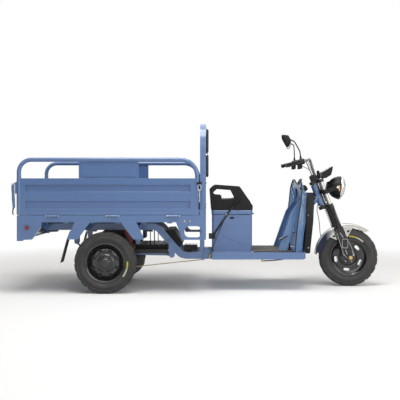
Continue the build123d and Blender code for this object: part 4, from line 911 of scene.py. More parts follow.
for side in (-1, 1):
    fork_spring(side)
    ring, nut = bmesh.new(), bmesh.new()
    lathe(ring, [(17.6, -134), (20.5, -133.4), (20.5, -127.6), (17.6, -127)],
          (LEG_FORWARD, side * LEG_SIDE, 0), (0, 0, 1), 32, closed=True)
    keep("brass_ring_" + WORD[side], ring, "zinc", "steering", SPECIALS["brass"], spot=FORK)
    lathe(nut, [(0, 0), (17, 0), (17, 3), (14, 3.4), (14, 12), (12, 14), (7, 14), (7, 18), (0, 19)],
          (FRONT_HUB.x, side * 119, FRONT_HUB.z), (0, side, 0), 6)
    disc(nut, 18, 2.4, (FRONT_HUB.x, side * 119, FRONT_HUB.z), (0, side, 0), 28)
    keep("front_axle_nut_" + WORD[side], nut, "zinc", "steering", SPECIALS["gold"], bevel=0.6)


LEG_FACE = 119.6
LEG_LINES = (((1164, 467), (1219, 289), (1248, 255)), ((1263, 398), (1303, 309), (1300, 274)))
LEG_PLATE = ((1211, 339), (1257, 339), (1257, 415), (1211, 415))
LEG_STRIPES = (((1190, 470), (1216, 430)), ((1238, 322), (1252, 284)))


def leg_lines():
    """Raised bright lines and a framed panel on the outer face of each lower leg."""
    lines = bmesh.new()
    for side in (-1, 1):
        for line in LEG_LINES:
            tube(lines, [(x, side * LEG_FACE, z) for x, z in line], 1.9, 8)
        frame = round_corners([(x, z) for x, z in LEG_PLATE], 10, 5)
        tube(lines, [(x, side * LEG_FACE, z) for x, z in frame], 2.2, 8, closed=True)
        for start, end in LEG_STRIPES:
            tube(lines, [(start[0], side * LEG_FACE, start[1]), (end[0], side * LEG_FACE, end[1])], 3.2, 8)
    keep("leg_lines", lines, "black_paint", "steering", SPECIALS["silver_line"])


leg_lines()
TUBE_R, TUBE_TOP, TUBE_LOW = 17, 133, -320


def fork_tubes():
    """The sliding tubes: bright above the springs, and blackened inside them."""
    for part, high, low, radius, slot, dress in (("bright", TUBE_TOP, SPRING_TOP + 8, TUBE_R, "chrome",
                                                  "tube_chrome"),
                                                 ("dark", SPRING_TOP + 8, TUBE_LOW, TUBE_R - 3, "black_paint",
                                                  None)):
        bm = bmesh.new()
        for side in (-1, 1):
            tube(bm, [(LEG_FORWARD, side * LEG_SIDE, low), (LEG_FORWARD, side * LEG_SIDE, high)], radius, 32)
        keep("fork_tubes_" + part, bm, slot, "steering", SPECIALS.get(dress), spot=FORK,
             replaces=("fork_stanchions",) if part == "bright" else ())


fork_tubes()
print("fork dressed")

# %% [markdown]
# ## The front mudguard
# The mudguard is a bright pressed band over the wheel with a turned lip down each side, deeper at the rear,
# and pierced gussets that carry it beside each leg. A section carried round an arc gives the crown, and the
# lips are arc bands pulled to the thickness of the sheet. A rolled bead closes their edges.

# %% Front mudguard
GUARD_R, GUARD_HALF, GUARD_T = 291, 58, 2.5
GUARD_FROM, GUARD_TO = 52, 175
HUB_XZ = (FRONT_HUB.x, FRONT_HUB.z)


def by_hub(x, y, z):
    """A place given from the middle of the front wheel."""
    return (HUB_XZ[0] + x, y, HUB_XZ[1] + z)


def arc_band(low, high, start, end, steps):
    """The outline between two arcs round the front axle."""
    return arc_points(HUB_XZ, high, start, end, steps) + arc_points(HUB_XZ, low, end, start, steps)


def front_mudguard():
    """Crown, lips, beads, gussets and rods."""
    bm = bmesh.new()
    rings = []
    section = [(-GUARD_HALF, 6), (-GUARD_HALF + 3, 1.5), (-GUARD_HALF * 0.7, 0), (0, -1.2),
               (GUARD_HALF * 0.7, 0), (GUARD_HALF - 3, 1.5), (GUARD_HALF, 6)]
    for i in range(61):
        a = radians(GUARD_FROM + (GUARD_TO - GUARD_FROM) * i / 60)
        outer = [(y, GUARD_R - drop) for y, drop in section]
        inner = [(y * 0.97, GUARD_R - drop - GUARD_T) for y, drop in reversed(section)]
        rings.append([bm.verts.new(wheel_point(r, a, y, HUB_XZ)) for y, r in outer + inner])
    capped(bm, rings)
    for side in (-1, 1):
        for low, start, end in ((GUARD_R - 32, 55, 111), (GUARD_R - 48, 111, 172)):
            prism(bm, arc_band(low, GUARD_R - 4, start, end, 30), side * GUARD_HALF,
                  side * (GUARD_HALF - GUARD_T))
            edge = [(x, side * (GUARD_HALF - 1.2), z) for x, z in arc_points(HUB_XZ, low, start, end, 30)]
            tube(bm, edge, 2.6, 8)
    piece = keep("front_mudguard", bm, "chrome", "steering", GUARD, smooth=50, replaces=("front_fender",))
    plates = bmesh.new()
    for side in (-1, 1):
        for outline in (((-62, 270), (31, 262), (-15, 177), (-38, 195)),
                        ((-172, 178), (-146, 213), (-108, 228), (-104, 150))):
            shape = round_corners([(HUB_XZ[0] + x, HUB_XZ[1] + z) for x, z in outline], 6)
            prism(plates, shape, side * GUARD_HALF, side * (GUARD_HALF + 3))
    plates = keep("mudguard_gussets", plates, "chrome", "steering", bevel=0.6)
    holes = bmesh.new()
    for outline in (((-24, 232), (10, 240), (-10, 208)), ((-154, 180), (-124, 196), (-120, 174))):
        prism(holes, round_corners([(HUB_XZ[0] + x, HUB_XZ[1] + z) for x, z in outline], 4), -80, 80)
    cut_away(plates, holes)
    rods = bmesh.new()
    for side in (-1, 1):
        for dx, dz in ((-46, 222), (-112, 190)):
            tube(rods, [by_hub(dx, side * GUARD_HALF, dz), by_hub(dx, side * 87, dz)], 6)
    for angle in (107, 115):
        x, z = arc_points(HUB_XZ, GUARD_R - 17, angle, angle, 1)[0]
        tube(rods, [(x, -86, z), (x, 86, z)], 6)
    keep("mudguard_rods", rods, "black_paint", "steering", bevel=0.8)
    places = [(by_hub(x, side * (GUARD_HALF + 3), z), (0, side, 0))
              for side in (-1, 1) for x, z in ((-46, 222), (-112, 190), (-40, 258), (14, 254), (-160, 187),
                                               (-115, 218))]
    bolts("mudguard_bolts", places, 4.2, "steering", finish_with=SPECIALS["steel"])
    return piece


print("mudguard:", len(front_mudguard().data.polygons), "faces")

# %% [markdown]
# ## The headlamp
# The lamp is a spun bowl, a bright rim and a domed glass. All three are turned about the lamp's own axis,
# which dips a little. The glass is clear, so there is a reflector and a bulb behind it.

# %% Headlamp
LAMP_FACE = Vector((1213, 0, 856))
LAMP_PIVOT = LAMP_FACE + Vector((-38, 0, 5))
LAMP_AXIS = Vector((cos(radians(-7.3)), 0, sin(radians(-7.3))))


def spun(name, profile, slot, finish_with=None, replaces=(), steps=96, smooth=40):
    """A piece turned about the lamp's axis, from radii and distances in front of the face."""
    bm = bmesh.new()
    lathe(bm, profile, LAMP_FACE, LAMP_AXIS, steps, closed=profile[0][0] > 0 or profile[-1][0] > 0)
    return keep(name, bm, slot, "steering", finish_with, smooth=smooth, replaces=replaces)


def clear_glass():
    """Clear glass with fine vertical fluting in its face."""
    material, tree, shader = new_material("fluted_lamp_glass")
    shader.inputs["Transmission Weight"].default_value = 1.0
    shader.inputs["IOR"].default_value = 1.35
    shader.inputs["Roughness"].default_value = 0.03
    shader.inputs["Base Color"].default_value = rgba(0.93, 0.95, 0.96)
    where = place(tree, "SeparateXYZ", {"Vector": object_place(tree)}).outputs["Y"]
    flutes = math_node(tree, "SINE", math_node(tree, "MULTIPLY", where, 420.0))
    bump = place(tree, "Bump", {"Height": flutes, "Strength": 0.25, "Distance": 0.002})
    tree.links.new(bump.outputs[0], shader.inputs["Normal"])
    return material


spun("lamp_bowl", [(0, -122), (38, -120), (46, -100), (68, -84), (86, -60), (98, -30), (101, -12),
                   (101, -8.3), (98, -8.3), (98, -12), (95, -30), (83, -58), (63, -81), (41, -97), (34, -117),
                   (0, -119)],
     "black_plastic", replaces=("headlamp_shell",))
spun("lamp_rim", [(103, -8), (105, -4), (105, 3), (102, 8), (96, 8), (95.3, 6), (95.3, -4), (99, -8)],
     "chrome")
spun("lamp_reflector", [(94, -8), (80, -24), (60, -43), (35, -61), (12, -70), (12, -73), (36, -65), (62, -47),
                        (82, -27), (96, -9)], "chrome")
spun("lamp_lens", [(0, 43), (26, 42), (52, 37), (78, 26), (91, 13), (95, 0), (95, -3.7), (91, -3.7), (87, 9),
                   (76, 22), (51, 33), (26, 38),
                   (0, 39)], "lamp_glass", clear_glass(), replaces=("headlamp_lens",))
spun("lamp_bulb", [(0, 2), (8, 0), (12, -8), (12, -16), (9, -24), (9, -66), (0, -66)], "lamp_glass", steps=32)


def lamp_ears():
    """The two brackets that carry the lamp from the legs, and the bolts that hold it."""
    bm = bmesh.new()
    for side in (-1, 1):
        y = side * LEG_SIDE
        lathe(bm, [(17.7, -10), (22.5, -10), (22.5, 30), (17.7, 30)], (LEG_FORWARD, y, 0), (0, 0, 1), 36,
              closed=True)
        outline = round_corners([(74, -10), (190, -10), (190, 24), (74, 24)], 8)
        prism(bm, outline, y - side * 4, y)
    keep("lamp_ears", bm, "black_plastic", "steering", bevel=1.0, spot=FORK)
    places = [(LAMP_PIVOT + Vector((0, side * 106, 0)), (0, side, 0)) for side in (-1, 1)]
    bolts("lamp_bolts", places, 8, "steering", finish_with=SPECIALS["steel"])
    posts = bmesh.new()
    for side in (-1, 1):
        tube(posts, [LAMP_PIVOT + Vector((0, side * y, 0)) for y in (92, 104)], 9, 20)
        marker = bmesh.new()
        outline = round_corners([(1183, 829), (1192, 829), (1192, 877), (1183, 877)], 3)
        prism(marker, outline, side * 101, side * 108)
        keep("amber_marker_" + WORD[side], marker, "red_lens", "steering", SPECIALS["amber"], bevel=1.2)
    keep("lamp_posts", posts, "black_plastic", "steering", bevel=1)


lamp_ears()
print("headlamp made")

# %% [markdown]
# ## The bars and what they carry
# The handlebar is one bent tube, the same on both sides, so half of its path is written and mirrored. On it
# sit ribbed grips, switch pods, lever blades and the mirror stems.

# %% Handlebar and controls
BAR_CLAMP = FORK @ Vector((31, 0, 156))
BAR_SIDE = [(BAR_CLAMP.x, 85, BAR_CLAMP.z), (930, 165, 1106), (885, 348, 1090), (726, 370, 1050)]
BAR_END, BAR_BEND = Vector(BAR_SIDE[3]), Vector(BAR_SIDE[2])
ALONG_GRIP = (BAR_BEND - BAR_END).normalized()
GRIP_LEN, POD_LEN = 98, 50
STEM = Vector((839, 352, 1085))


def on_bar(distance, x=0, y=0, z=0):
    """A point on the left grip's axis, or beside it."""
    return BAR_END + ALONG_GRIP * distance + Vector((x, y, z))


def mirrored(bm):
    """Adds the right-hand copy of a left-hand drawing."""
    copy = bmesh.ops.duplicate(bm, geom=bm.verts[:] + bm.edges[:] + bm.faces[:])
    bmesh.ops.scale(bm, vec=(1, -1, 1), verts=[v for v in copy["geom"] if isinstance(v, bmesh.types.BMVert)])


def handlebar():
    """The bent bar and its clamp."""
    bm = bmesh.new()
    tube(bm, rounded(both(BAR_SIDE), 55, 8), 11, 20)
    # The bar's chrome is painted dark as a painted reflection.
    keep("handlebar_tube", bm, "chrome", "steering", SPECIALS["chrome_painted_dark"], smooth=50,
         replaces=("handlebar",))
    clamp = bmesh.new()
    for side in (-1, 1):
        for low, high in ((127, 155), (157, 174)):
            brick(clamp, 14, 48, side * 22, side * 56, low, high)
    keep("bar_clamps", clamp, "black_paint", "steering", bevel=2.5, spot=FORK)
    places = [(FORK @ Vector((31 + dx, side * 39, 174)), FORK.to_3x3() @ Vector((0, 0, 1)))
              for side in (-1, 1) for dx in (-11, 11)]
    bolts("clamp_bolts", places, 4, "steering", finish_with=SPECIALS["steel"])


def rib_drawing(inner, outer, half):
    """A thin collar, facing along Z."""
    bm = bmesh.new()
    profile = [(inner, -half), (outer, -half * 0.6), (outer, half * 0.6), (inner, half)]
    lathe(bm, profile, (0, 0, 0), (0, 0, 1), 24, closed=True)
    return bm


def grips():
    """Both grips with their ribs and end collars."""
    bm = bmesh.new()
    tube(bm, [on_bar(-4), on_bar(GRIP_LEN)], 15, 24)
    tube(bm, [on_bar(-8), on_bar(-2)], 19, 24)
    tube(bm, [on_bar(GRIP_LEN - 6), on_bar(GRIP_LEN)], 20, 24)
    grow(ALONG, path_mesh([on_bar(6), on_bar(GRIP_LEN - 12)]), rib_drawing(14.5, 16.4, 1.3), bm, Step=4.6)
    mirrored(bm)
    return keep("grips", bm, "black_plastic", "steering", replaces=("bar_controls",))


def pods():
    """Switch pods, their lower blocks and the collars of the mirror stems."""
    bm = bmesh.new()
    lathe(bm, [(12, 0), (22, 0), (24, 3), (24, POD_LEN - 3), (22, POD_LEN), (12, POD_LEN)], on_bar(GRIP_LEN),
          ALONG_GRIP, 28, closed=True)
    drop = on_bar(GRIP_LEN + 2)
    prism(bm, round_corners([(drop.x - 8, drop.z - 58), (drop.x + 28, drop.z - 50), (drop.x + 30, drop.z),
                             (drop.x - 8, drop.z)], 6), drop.y - 15, drop.y + 15)
    tube(bm, [STEM, STEM + Vector((0, 0, 40))], 9, 6)
    mirrored(bm)
    keep("switch_pods", bm, "black_plastic", "steering", bevel=1.2)
    button = bmesh.new()
    at = on_bar(GRIP_LEN + 25, -2, -24, 4)
    tube(button, [at, at + Vector((0, -5, 0))], 7, 20)
    mirrored(button)
    keep("pod_buttons", button, "red_lens", "steering", SPECIALS["red"], bevel=1)


def levers():
    """Lever perches and blades with a ball at each tip."""
    bm = bmesh.new()
    foot, knee = on_bar(GRIP_LEN + 24, 0, 12, 0), on_bar(GRIP_LEN + 24, 9, 52, -6)
    tip = on_bar(10, 4, 60, -12)
    tube(bm, [foot, knee], 8, 16)
    path = rounded([knee - Vector((0, 6, 0)), knee, knee.lerp(tip, 0.5) + Vector((0, -5, 0)), tip], 30, 6)
    tube(bm, path, 5.2, 12)
    lathe(bm, [(0, -8), (5, -6.5), (8, 0), (5, 6.5), (0, 8)], tip, ALONG_GRIP, 20)
    mirrored(bm)
    keep("brake_levers", bm, "black_plastic", "steering")


handlebar()
grips()
pods()
levers()
print("bars dressed")

# %% [markdown]
# ## Mirrors, instrument and switch
# A mirror is a moulded case with a rounded outline and a glass let into its back. The right one leans back on
# its stem, and the left one stands higher and further forward, as two ball joints are never set alike.

# %% Mirrors
MIRROR_OUTLINE = ((676, 1299), (692, 1301), (734, 1295), (752, 1260), (756, 1248), (741, 1203), (719, 1193),
                  (679, 1264))


def mirror(name, side, shift, stem, replaces=()):
    """One mirror: stem, case and glass."""
    bm = bmesh.new()
    tube(bm, rounded(stem, 26, 6), 5, 14)
    lathe(bm, [(0, -7), (7, -6), (9, 0), (7, 6), (0, 7)], stem[-1], (0, 1, 0), 20)
    keep(name + "_stem", bm, "black_plastic", "steering")
    case = bmesh.new()
    outline = round_corners([(x + shift[0], z + shift[1]) for x, z in MIRROR_OUTLINE], 12, 5)
    middle = Vector((sum(x for x, _ in outline), 0, sum(z for _, z in outline))) / len(outline)
    rings = []
    for scale, y in ((0.90, -10), (0.97, -12), (1.0, -9), (1.0, 0), (0.93, 8), (0.72, 12), (0.35, 14)):
        rings.append([case.verts.new((middle.x + (x - middle.x) * scale, side * (430 + y),
                                      middle.z + (z - middle.z) * scale))
                      for x, z in outline])
    skin(case, rings)
    case.faces.new(rings[0])
    case.faces.new(rings[-1][::-1])
    keep(name + "_case", case, "black_plastic", "steering", smooth=50, replaces=replaces)
    glass = bmesh.new()
    inner = [(middle.x + (x - middle.x) * 0.88, middle.z + (z - middle.z) * 0.88) for x, z in outline]
    prism(glass, inner, side * 418.8, side * 421)
    keep(name + "_glass", glass, "chrome", "steering")


mirror("mirror_right", -1, (0, 0),
       [(STEM.x, -STEM.y, STEM.z + 30), (STEM.x - 8, -STEM.y - 8, STEM.z + 83),
        (STEM.x - 55, -STEM.y - 48, STEM.z + 160), (STEM.x - 98, -430, STEM.z + 178)], ("mirrors",))
mirror("mirror_left", 1, (60, 15),
       [(STEM.x, STEM.y, STEM.z + 30), (STEM.x - 1, STEM.y + 3, STEM.z + 100),
        (STEM.x - 3, STEM.y + 50, STEM.z + 164), (STEM.x - 40, 430, STEM.z + 180)])

# %% Instrument, key switch and horn
def instrument():
    """The sloping housing with its bright top bezel and glass, on a stay."""
    bm = bmesh.new()
    face = [(1042, 980), (1046, 990), (1138, 1045), (1136, 1030), (1130, 1000), (1122, 970), (1075, 940),
            (1045, 950)]
    prism(bm, round_corners(face, 5), -75, 75)
    keep("instrument_housing", bm, "black_plastic", "steering", bevel=4, replaces=("instrument",))
    up = Vector((-55, 0, 92)).normalized()
    top = Matrix.Translation((1092, 0, 1017.5)) @ Vector((0, 0,
                                                          1)).rotation_difference(up).to_matrix().to_4x4()
    for name, half_x, half_y, rise, slot, dress in (("instrument_bezel", 47, 66, 1.6, "chrome",
                                                     SPECIALS["silver_line"]),
                                                    ("instrument_glass", 41, 60, 2.4, "lamp_glass",
                                                     FINISHES["black_steel"])):
        plate = bmesh.new()
        outline = round_corners([(-half_x, -half_y), (half_x, -half_y), (half_x, half_y), (-half_x, half_y)],
                                10)
        low = [plate.verts.new((x, y, -2)) for x, y in outline]
        high = [plate.verts.new((x, y, rise)) for x, y in outline]
        plate.faces.new(low[::-1])
        plate.faces.new(high)
        skin(plate, [low, high])
        keep(name, plate, slot, "steering", dress, bevel=0.8, spot=top)
    stay = bmesh.new()
    prism(stay, round_corners([(1022, 924), (1052, 936), (1074, 944), (1046, 956), (1018, 940)], 3), -30, 30)
    keep("instrument_stay", stay, "black_paint", "steering", bevel=1)
    knob = bmesh.new()
    lathe(knob, [(0, 0), (13, 0), (13, 62), (11, 72), (0, 76)], (1021, -44, 934), (-0.105, 0, 0.994), 24)
    brick(knob, 1012, 1030, -50, -28, 930, 944)
    keep("bar_knob", knob, "black_plastic", "steering", bevel=1)


HORN_PLACE = (894, 0, 850)


def horn():
    """A disc horn with a dished face, on its strip behind the head tube."""
    bm = bmesh.new()
    lathe(bm, [(0, -22), (14, -22), (16, -17), (26, -17), (31, -12), (31, 12), (26, 17), (22, 15), (18, 19),
               (8, 21), (0, 21)], HORN_PLACE, (0, 1, 0), 48)
    prism(bm, [(894, 842), (930, 838), (930, 850), (894, 858)], -2, 2)
    keep("horn", bm, "black_plastic", "chassis", bevel=0.8)


instrument()
horn()
switch = bmesh.new()
prism(switch, round_corners([(-22, 136), (19.7, 136), (19.7, 180), (-22, 180)], 6), -118, -74)
disc(switch, 11, 6, (-1, -96, 180), (0, 0, 1), 24)
keep("key_switch", switch, "black_plastic", "steering", bevel=1.5, spot=FORK)
print("mirrors, instrument, horn and switch made")

# %% [markdown]
# ## The bars at rest
# The machine stands with its bars turned a few degrees to the right of the fork, so everything that they
# carry is turned about the steering axis once it is made.

# %% Bars turned a little to the right
TURNED = ("handlebar_tube", "grips", "switch_pods", "pod_buttons", "brake_levers", "bar_clamps",
          "clamp_bolts", "bar_knob", "mirror_right_stem", "mirror_right_case", "mirror_right_glass",
          "mirror_left_stem", "mirror_left_case", "mirror_left_glass")
BAR_TURN = radians(-3.3)
turn_bars = (Matrix.Translation(HEAD / 1000) @ Matrix.Rotation(BAR_TURN, 4, Vector(STEER["axis"]))
             @ Matrix.Translation(-HEAD / 1000))
for name in TURNED:
    if name in bpy.data.objects:
        bpy.data.objects[name].data.transform(turn_bars)
    else:
        print("not turned:", name)

# %% [markdown]
# ## Leg shield and front cover
# The leg shield is one folded sheet that runs forward from its edges to a flat nose, with two rounded peaks.
# Its plan changes with height, so it is skinned between several plans. A rubber trim follows the whole edge,
# an X of pressed ribs stiffens each flank behind, and flanged struts brace it to the floor.

# %% Leg shield
SHIELD_LEVELS = ((324, 779, 332, 858, 190), (430, 783, 358, 872, 160), (560, 791, 390, 896, 130),
                 (742, 818, 400, 905, 115), (799, 823, 400, 912, 105), (852, 828, 395, 880, 95),
                 (890, 830, 332, 860, 85), (928, 834, 250, 843, 75))
SHIELD_T = 3


def shield_row(level):
    """The points of the shield's front face at one height, from its right edge to its left."""
    z, edge_x, half, nose_x, nose_half = level
    flank = (edge_x + 0.6 * (nose_x - edge_x), (half + nose_half) / 2)
    side = [(edge_x, half), (edge_x + 12, half - 20),
            (edge_x + 0.35 * (nose_x - edge_x), half - 0.3 * (half - nose_half)), flank,
            (nose_x - 6, nose_half + 12), (nose_x, nose_half - 14), (nose_x + 1, nose_half / 2)]
    row = [Vector((x, -y, z)) for x, y in side] + [Vector((nose_x + 1, 0, z))]
    return row + [Vector((p.x, -p.y, z)) for p in reversed(row[:-1])]


def fine_levels(levels, steps):
    """The same levels with straight steps between them."""
    fine = []
    for low, high in zip(levels, levels[1:]):
        fine += [tuple(a + (b - a) * i / steps for a, b in zip(low, high)) for i in range(steps)]
    return fine + [levels[-1]]


def peak_dip(y):
    """How far the middle of the top edge lies below the two peaks."""
    return 40 * cos(y / 190 * pi / 2) ** 2 if abs(y) < 190 else 0.0


def rim(face):
    """The points round the edge of a grid of points, once round."""
    up, down = [row[0] for row in face], [row[-1] for row in reversed(face[:-1])]
    return up + face[-1][1:] + down + face[0][-2:0:-1]


def leg_shield():
    """The folded sheet and the trim round its edge."""
    bm = bmesh.new()
    rows = [shield_row(level) for level in fine_levels(SHIELD_LEVELS, 4)]
    front, back = [], []
    top = SHIELD_LEVELS[-1][0]
    for row in rows:
        for p in row:
            p.z = min(p.z, top - peak_dip(p.y))
        front.append([bm.verts.new(p) for p in row])
        back.append([bm.verts.new(p - Vector((SHIELD_T, 0, 0))) for p in row])
    for face, flip in ((front, False), (back, True)):
        for low, high in zip(face, face[1:]):
            for i in range(len(low) - 1):
                corners = [low[i], low[i + 1], high[i + 1], high[i]]
                if len({tuple(round(c, 3) for c in v.co) for v in corners}) > 2:
                    bm.faces.new(corners[::-1] if flip else corners)
    skin(bm, [rim(front), rim(back)])
    # The sheet, its struts and its ribs take the blue enamel painted lighter: painted light.
    sheet = keep("leg_shield_sheet", bm, "blue_paint", "chassis", SPECIALS["blue_painted_lit"], smooth=32,
                 replaces=("leg_shield",))
    edge = [row[0] for row in rows] + rows[-1][1:-1] + [row[-1] for row in reversed(rows)]
    edge = [p - Vector((SHIELD_T / 2, 0, 0)) for p in edge]
    trim = bmesh.new()
    tube(trim, edge, 5.5, 10)
    keep("shield_trim", trim, "flap_rubber", "chassis")
    return sheet


def shield_point(y, z):
    """The depth of the shield's rear face at a place on it."""
    low, high = next(pair for pair in zip(SHIELD_LEVELS, SHIELD_LEVELS[1:]) if pair[0][0] <= z <= pair[1][0])
    level = tuple(a + (b - a) * (z - low[0]) / (high[0] - low[0]) for a, b in zip(low, high))
    row = shield_row(level)
    for a, b in zip(row, row[1:]):
        if min(a.y, b.y) <= y <= max(a.y, b.y):
            return a.x + (b.x - a.x) * (y - a.y) / (b.y - a.y) - SHIELD_T
    return row[0].x


def shield_braces():
    """Flanged struts, X ribs behind each flank and the bolts in front."""
    struts = bmesh.new()
    rear_edge = [(834, 748), (761, 648), (738, 584), (646, 320)]
    web = [(868, 776)] + rear_edge + [(721, 320), (770, 504), (820, 628), (870, 690)]
    lip = rear_edge + [(x + 5, max(z - 3, 320)) for x, z in reversed(rear_edge)]
    for side in (-1, 1):
        prism(struts, web, side * 210, side * 214)
        prism(struts, lip, side * 188, side * 210)
        brick(struts, 646, 726, side * 188, side * 250, 320, 324)
    keep("shield_struts", struts, "blue_paint", "chassis", SPECIALS["blue_painted_lit"], bevel=1.2)
    ribs = bmesh.new()
    for side in (-1, 1):
        for start, end in (((235, 850), (350, 640)), ((350, 850), (235, 640)), ((235, 600), (330, 450)),
                           ((330, 600), (235, 450))):
            line = []
            for i in range(13):
                y, z = (a + (b - a) * i / 12 for a, b in zip(start, end))
                line.append((shield_point(side * y, z) - 6.5, side * y, z))
            tube(ribs, line, 9, 12)
    keep("shield_ribs", ribs, "blue_paint", "chassis", SPECIALS["blue_painted_lit"])
    places = []
    for side in (-1, 1):
        for y, z in ((300, 778), (300, 728), (250, 560), (250, 420)):
            places.append(((shield_point(side * y, z) + SHIELD_T, side * y, z), (0.8, side * 0.6, 0)))
        places += [((690, side * 219, 324), (0, 0, 1)), ((660, side * 236, 324), (0, 0, 1))]
    bolts("shield_bolts", places, 6, "chassis")


def front_cover():
    """The moulded shell over the down tubes, with bevelled corners and two long grooves in its face."""
    bm = bmesh.new()
    rings = []
    levels = ((291, 882, 937, 110), (300, 882, 938, 112), (425, 890, 949, 122), (560, 899, 962, 132),
              (690, 907, 972, 106), (806, 915, 982, 81), (815, 916, 978, 76))
    for z, back, front, half in levels:
        bevel = 22
        side = [(back, half), (front - bevel, half), (front - 7, half - 7), (front, half - bevel),
                (front, half * 0.45), (front - 4, half * 0.4), (front - 4, half * 0.3), (front, half * 0.25)]
        rings.append([bm.verts.new((x, y, z)) for x, y in side + [(x, -y) for x, y in reversed(side)]])
    skin(bm, rings)
    bm.faces.new(rings[-1])
    bm.faces.new(rings[0][::-1])
    keep("front_cover_shell", bm, "black_plastic", "chassis", smooth=40, replaces=("front_cover",))
    places = [((918, side * 118, z), (0, side, 0)) for side in (-1, 1) for z in (340, 620)]
    bolts("cover_screws", places, 4, "chassis", finish_with=SPECIALS["steel"])


print("shield:", len(leg_shield().data.polygons), "faces")
shield_braces()
front_cover()

# %% [markdown]
# ## The covers below the bed
# Between the axle and the kick-up of the frame hang a flat moulded wiring case on rods, a sloping black plate
# with ribs and a black block with fins. The plate and the block are painted shade: dark pieces set where the
# far frame members lie in shadow. A pair of trailing arms runs beside the case, and a short lever lies along
# the floor's right edge.

# %% Covers below the bed
CASE_RIBS, CASE_PITCH = 7, 42
SLOPED_PLATE_RIBS = 5
FINS, FIN_PITCH = 9, 12.5


def underbed():
    """The wiring case, the trailing arms, the floor lever, and a sloping plate and a finned block that are
    painted shade.
    """
    case = bmesh.new()
    prism(case, round_corners([(-583, 334), (-285, 334), (-285, 366), (-295, 374), (-575, 374), (-583, 366)],
                              5), -228, 228)
    for i in range(CASE_RIBS):
        start = -560 + CASE_PITCH * i
        brick(case, start, start + 15, -212, 212, 372, 377)
    for side in (-1, 1):
        for x in (-433, -398):
            tube(case, [(x, side * 224, 350), (x, side * 224, 503)], 4, 10)
    keep("wiring_case", case, "black_plastic", "chassis", bevel=1.2, replaces=("underbed_covers",))
    arms = bmesh.new()
    outline = round_corners([(-600, 296), (-290, 290), (-262, 282), (-250, 300), (-262, 318), (-290, 326),
                             (-600, 332)], 6)
    for side in (-1, 1):
        prism(arms, outline, *sorted((side * 238, side * 262)))
    keep("trailing_arms", arms, "blue_paint", "chassis", bevel=2)
    bolts("arm_bolts", [((-262, side * 263, 300), (0, side, 0)) for side in (-1, 1)], 9, "chassis",
          finish_with=SPECIALS["gold"])
    lever = bmesh.new()
    tube(lever, [(514, -200, 236), (600, -204, 240), (690, -210, 250)], 5, 12)
    keep("floor_lever", lever, "black_paint", "chassis")
    bolts("floor_lever_bolt", [((514, -206, 238), (0, -1, 0))], 8, "chassis", finish_with=SPECIALS["gold"])
    # A sloping black plate with ribs: painted shade over the far frame member's diagonal.
    guard = bmesh.new()
    prism(guard, round_corners([(-306, 501), (-237, 504), (-157, 387), (-191, 357)], 6), -228, 228)
    for i in range(SLOPED_PLATE_RIBS):
        x, z = -298 + 22 * i, 480 - 27 * i
        tube(guard, [(x, -200, z), (x, 200, z)], 5, 10)
    keep("guard_tray", guard, "black_plastic", "chassis", bevel=2)
    # A finned black block: painted shade over the far frame member's lower run.
    shade_block = bmesh.new()
    brick(shade_block, -156, -39, -90, 90, 310, 350)
    fin = bmesh.new()
    prism(fin, round_corners([(-2.2, 0), (2.2, 0), (1.4, 16), (-1.4, 16)], 0.6, 2), -86, 86)
    places = [((-148 + FIN_PITCH * i, 0, 349), (0, 0, 1)) for i in range(FINS)]
    grow(SCATTER, points_mesh(places), fin, shade_block, Roll=0.0)
    keep("motor_controller", shade_block, "black_casting", "chassis", bevel=0.6)


underbed()
print("covers made")

# %% [markdown]
# ## The seat cushion and the backrest pads
# Foam under vinyl swells between its seams, so these are blown up like cushions: a plain rounded block is
# remeshed evenly, given to the cloth solver with a little pressure and no gravity, and held to a few
# millimetres of swelling. The piping and the sewn channels come afterwards, because they follow the swollen
# surface.

# %% Tools for stuffed pieces
PIPE_R = 3.0
CLOTH_FRAMES = 20
CLOTH_PRESSURE = 4.0


def pillow_block(bm, low, high, corner, inset):
    """A block with rounded upright corners and softened edges, slightly smaller than its space."""
    x0, y0, z0 = (v + inset for v in low)
    x1, y1, z1 = (v - inset for v in high)
    outline = round_corners([(x0, y0), (x1, y0), (x1, y1), (x0, y1)], corner, 8)
    cx, cy = (x0 + x1) / 2, (y0 + y1) / 2
    rings = []
    soft = min(14, (z1 - z0) / 3)
    for z, pull in ((z0, 2), (z0 + 4, 0), (z1 - soft, 0), (z1 - soft * 0.35, soft * 0.22), (z1, soft * 0.9)):
        rings.append([bm.verts.new((x + (cx - x) * pull / (x1 - x0) * 2, y + (cy - y) * pull / (y1 - y0) * 2,
                                    z))
                      for x, y in outline])
    capped(bm, rings)


def inflate(piece, voxel, cap, flat_low, axis=2):
    """Remeshes a kept piece evenly, blows it up with the cloth solver, caps the swelling and subdivides."""
    remesh = piece.modifiers.new("remesh", "REMESH")
    remesh.mode = "VOXEL"
    remesh.voxel_size = voxel
    rest = [vert.co.copy() for vert in made_plain(piece).vertices]
    cloth = piece.modifiers.new("cloth", "CLOTH")
    cloth.settings.use_pressure = True
    cloth.settings.uniform_pressure_force = CLOTH_PRESSURE
    cloth.settings.effector_weights.gravity = 0.0
    cloth.settings.quality = 5
    cloth.point_cache.frame_start = 1
    cloth.point_cache.frame_end = CLOTH_FRAMES
    scene = bpy.context.scene
    for number in range(1, CLOTH_FRAMES + 1):
        scene.frame_set(number)
    made_plain(piece)
    scene.frame_set(1)
    for vert, start in zip(piece.data.vertices, rest):
        move = vert.co - start
        if move.length > cap:
            move = move * (cap / move.length)
        vert.co = start + move
        vert.co[axis] = max(vert.co[axis], flat_low)
    fine = piece.modifiers.new("fine", "SUBSURF")
    fine.levels = fine.render_levels = 1
    made_plain(piece).shade_smooth()


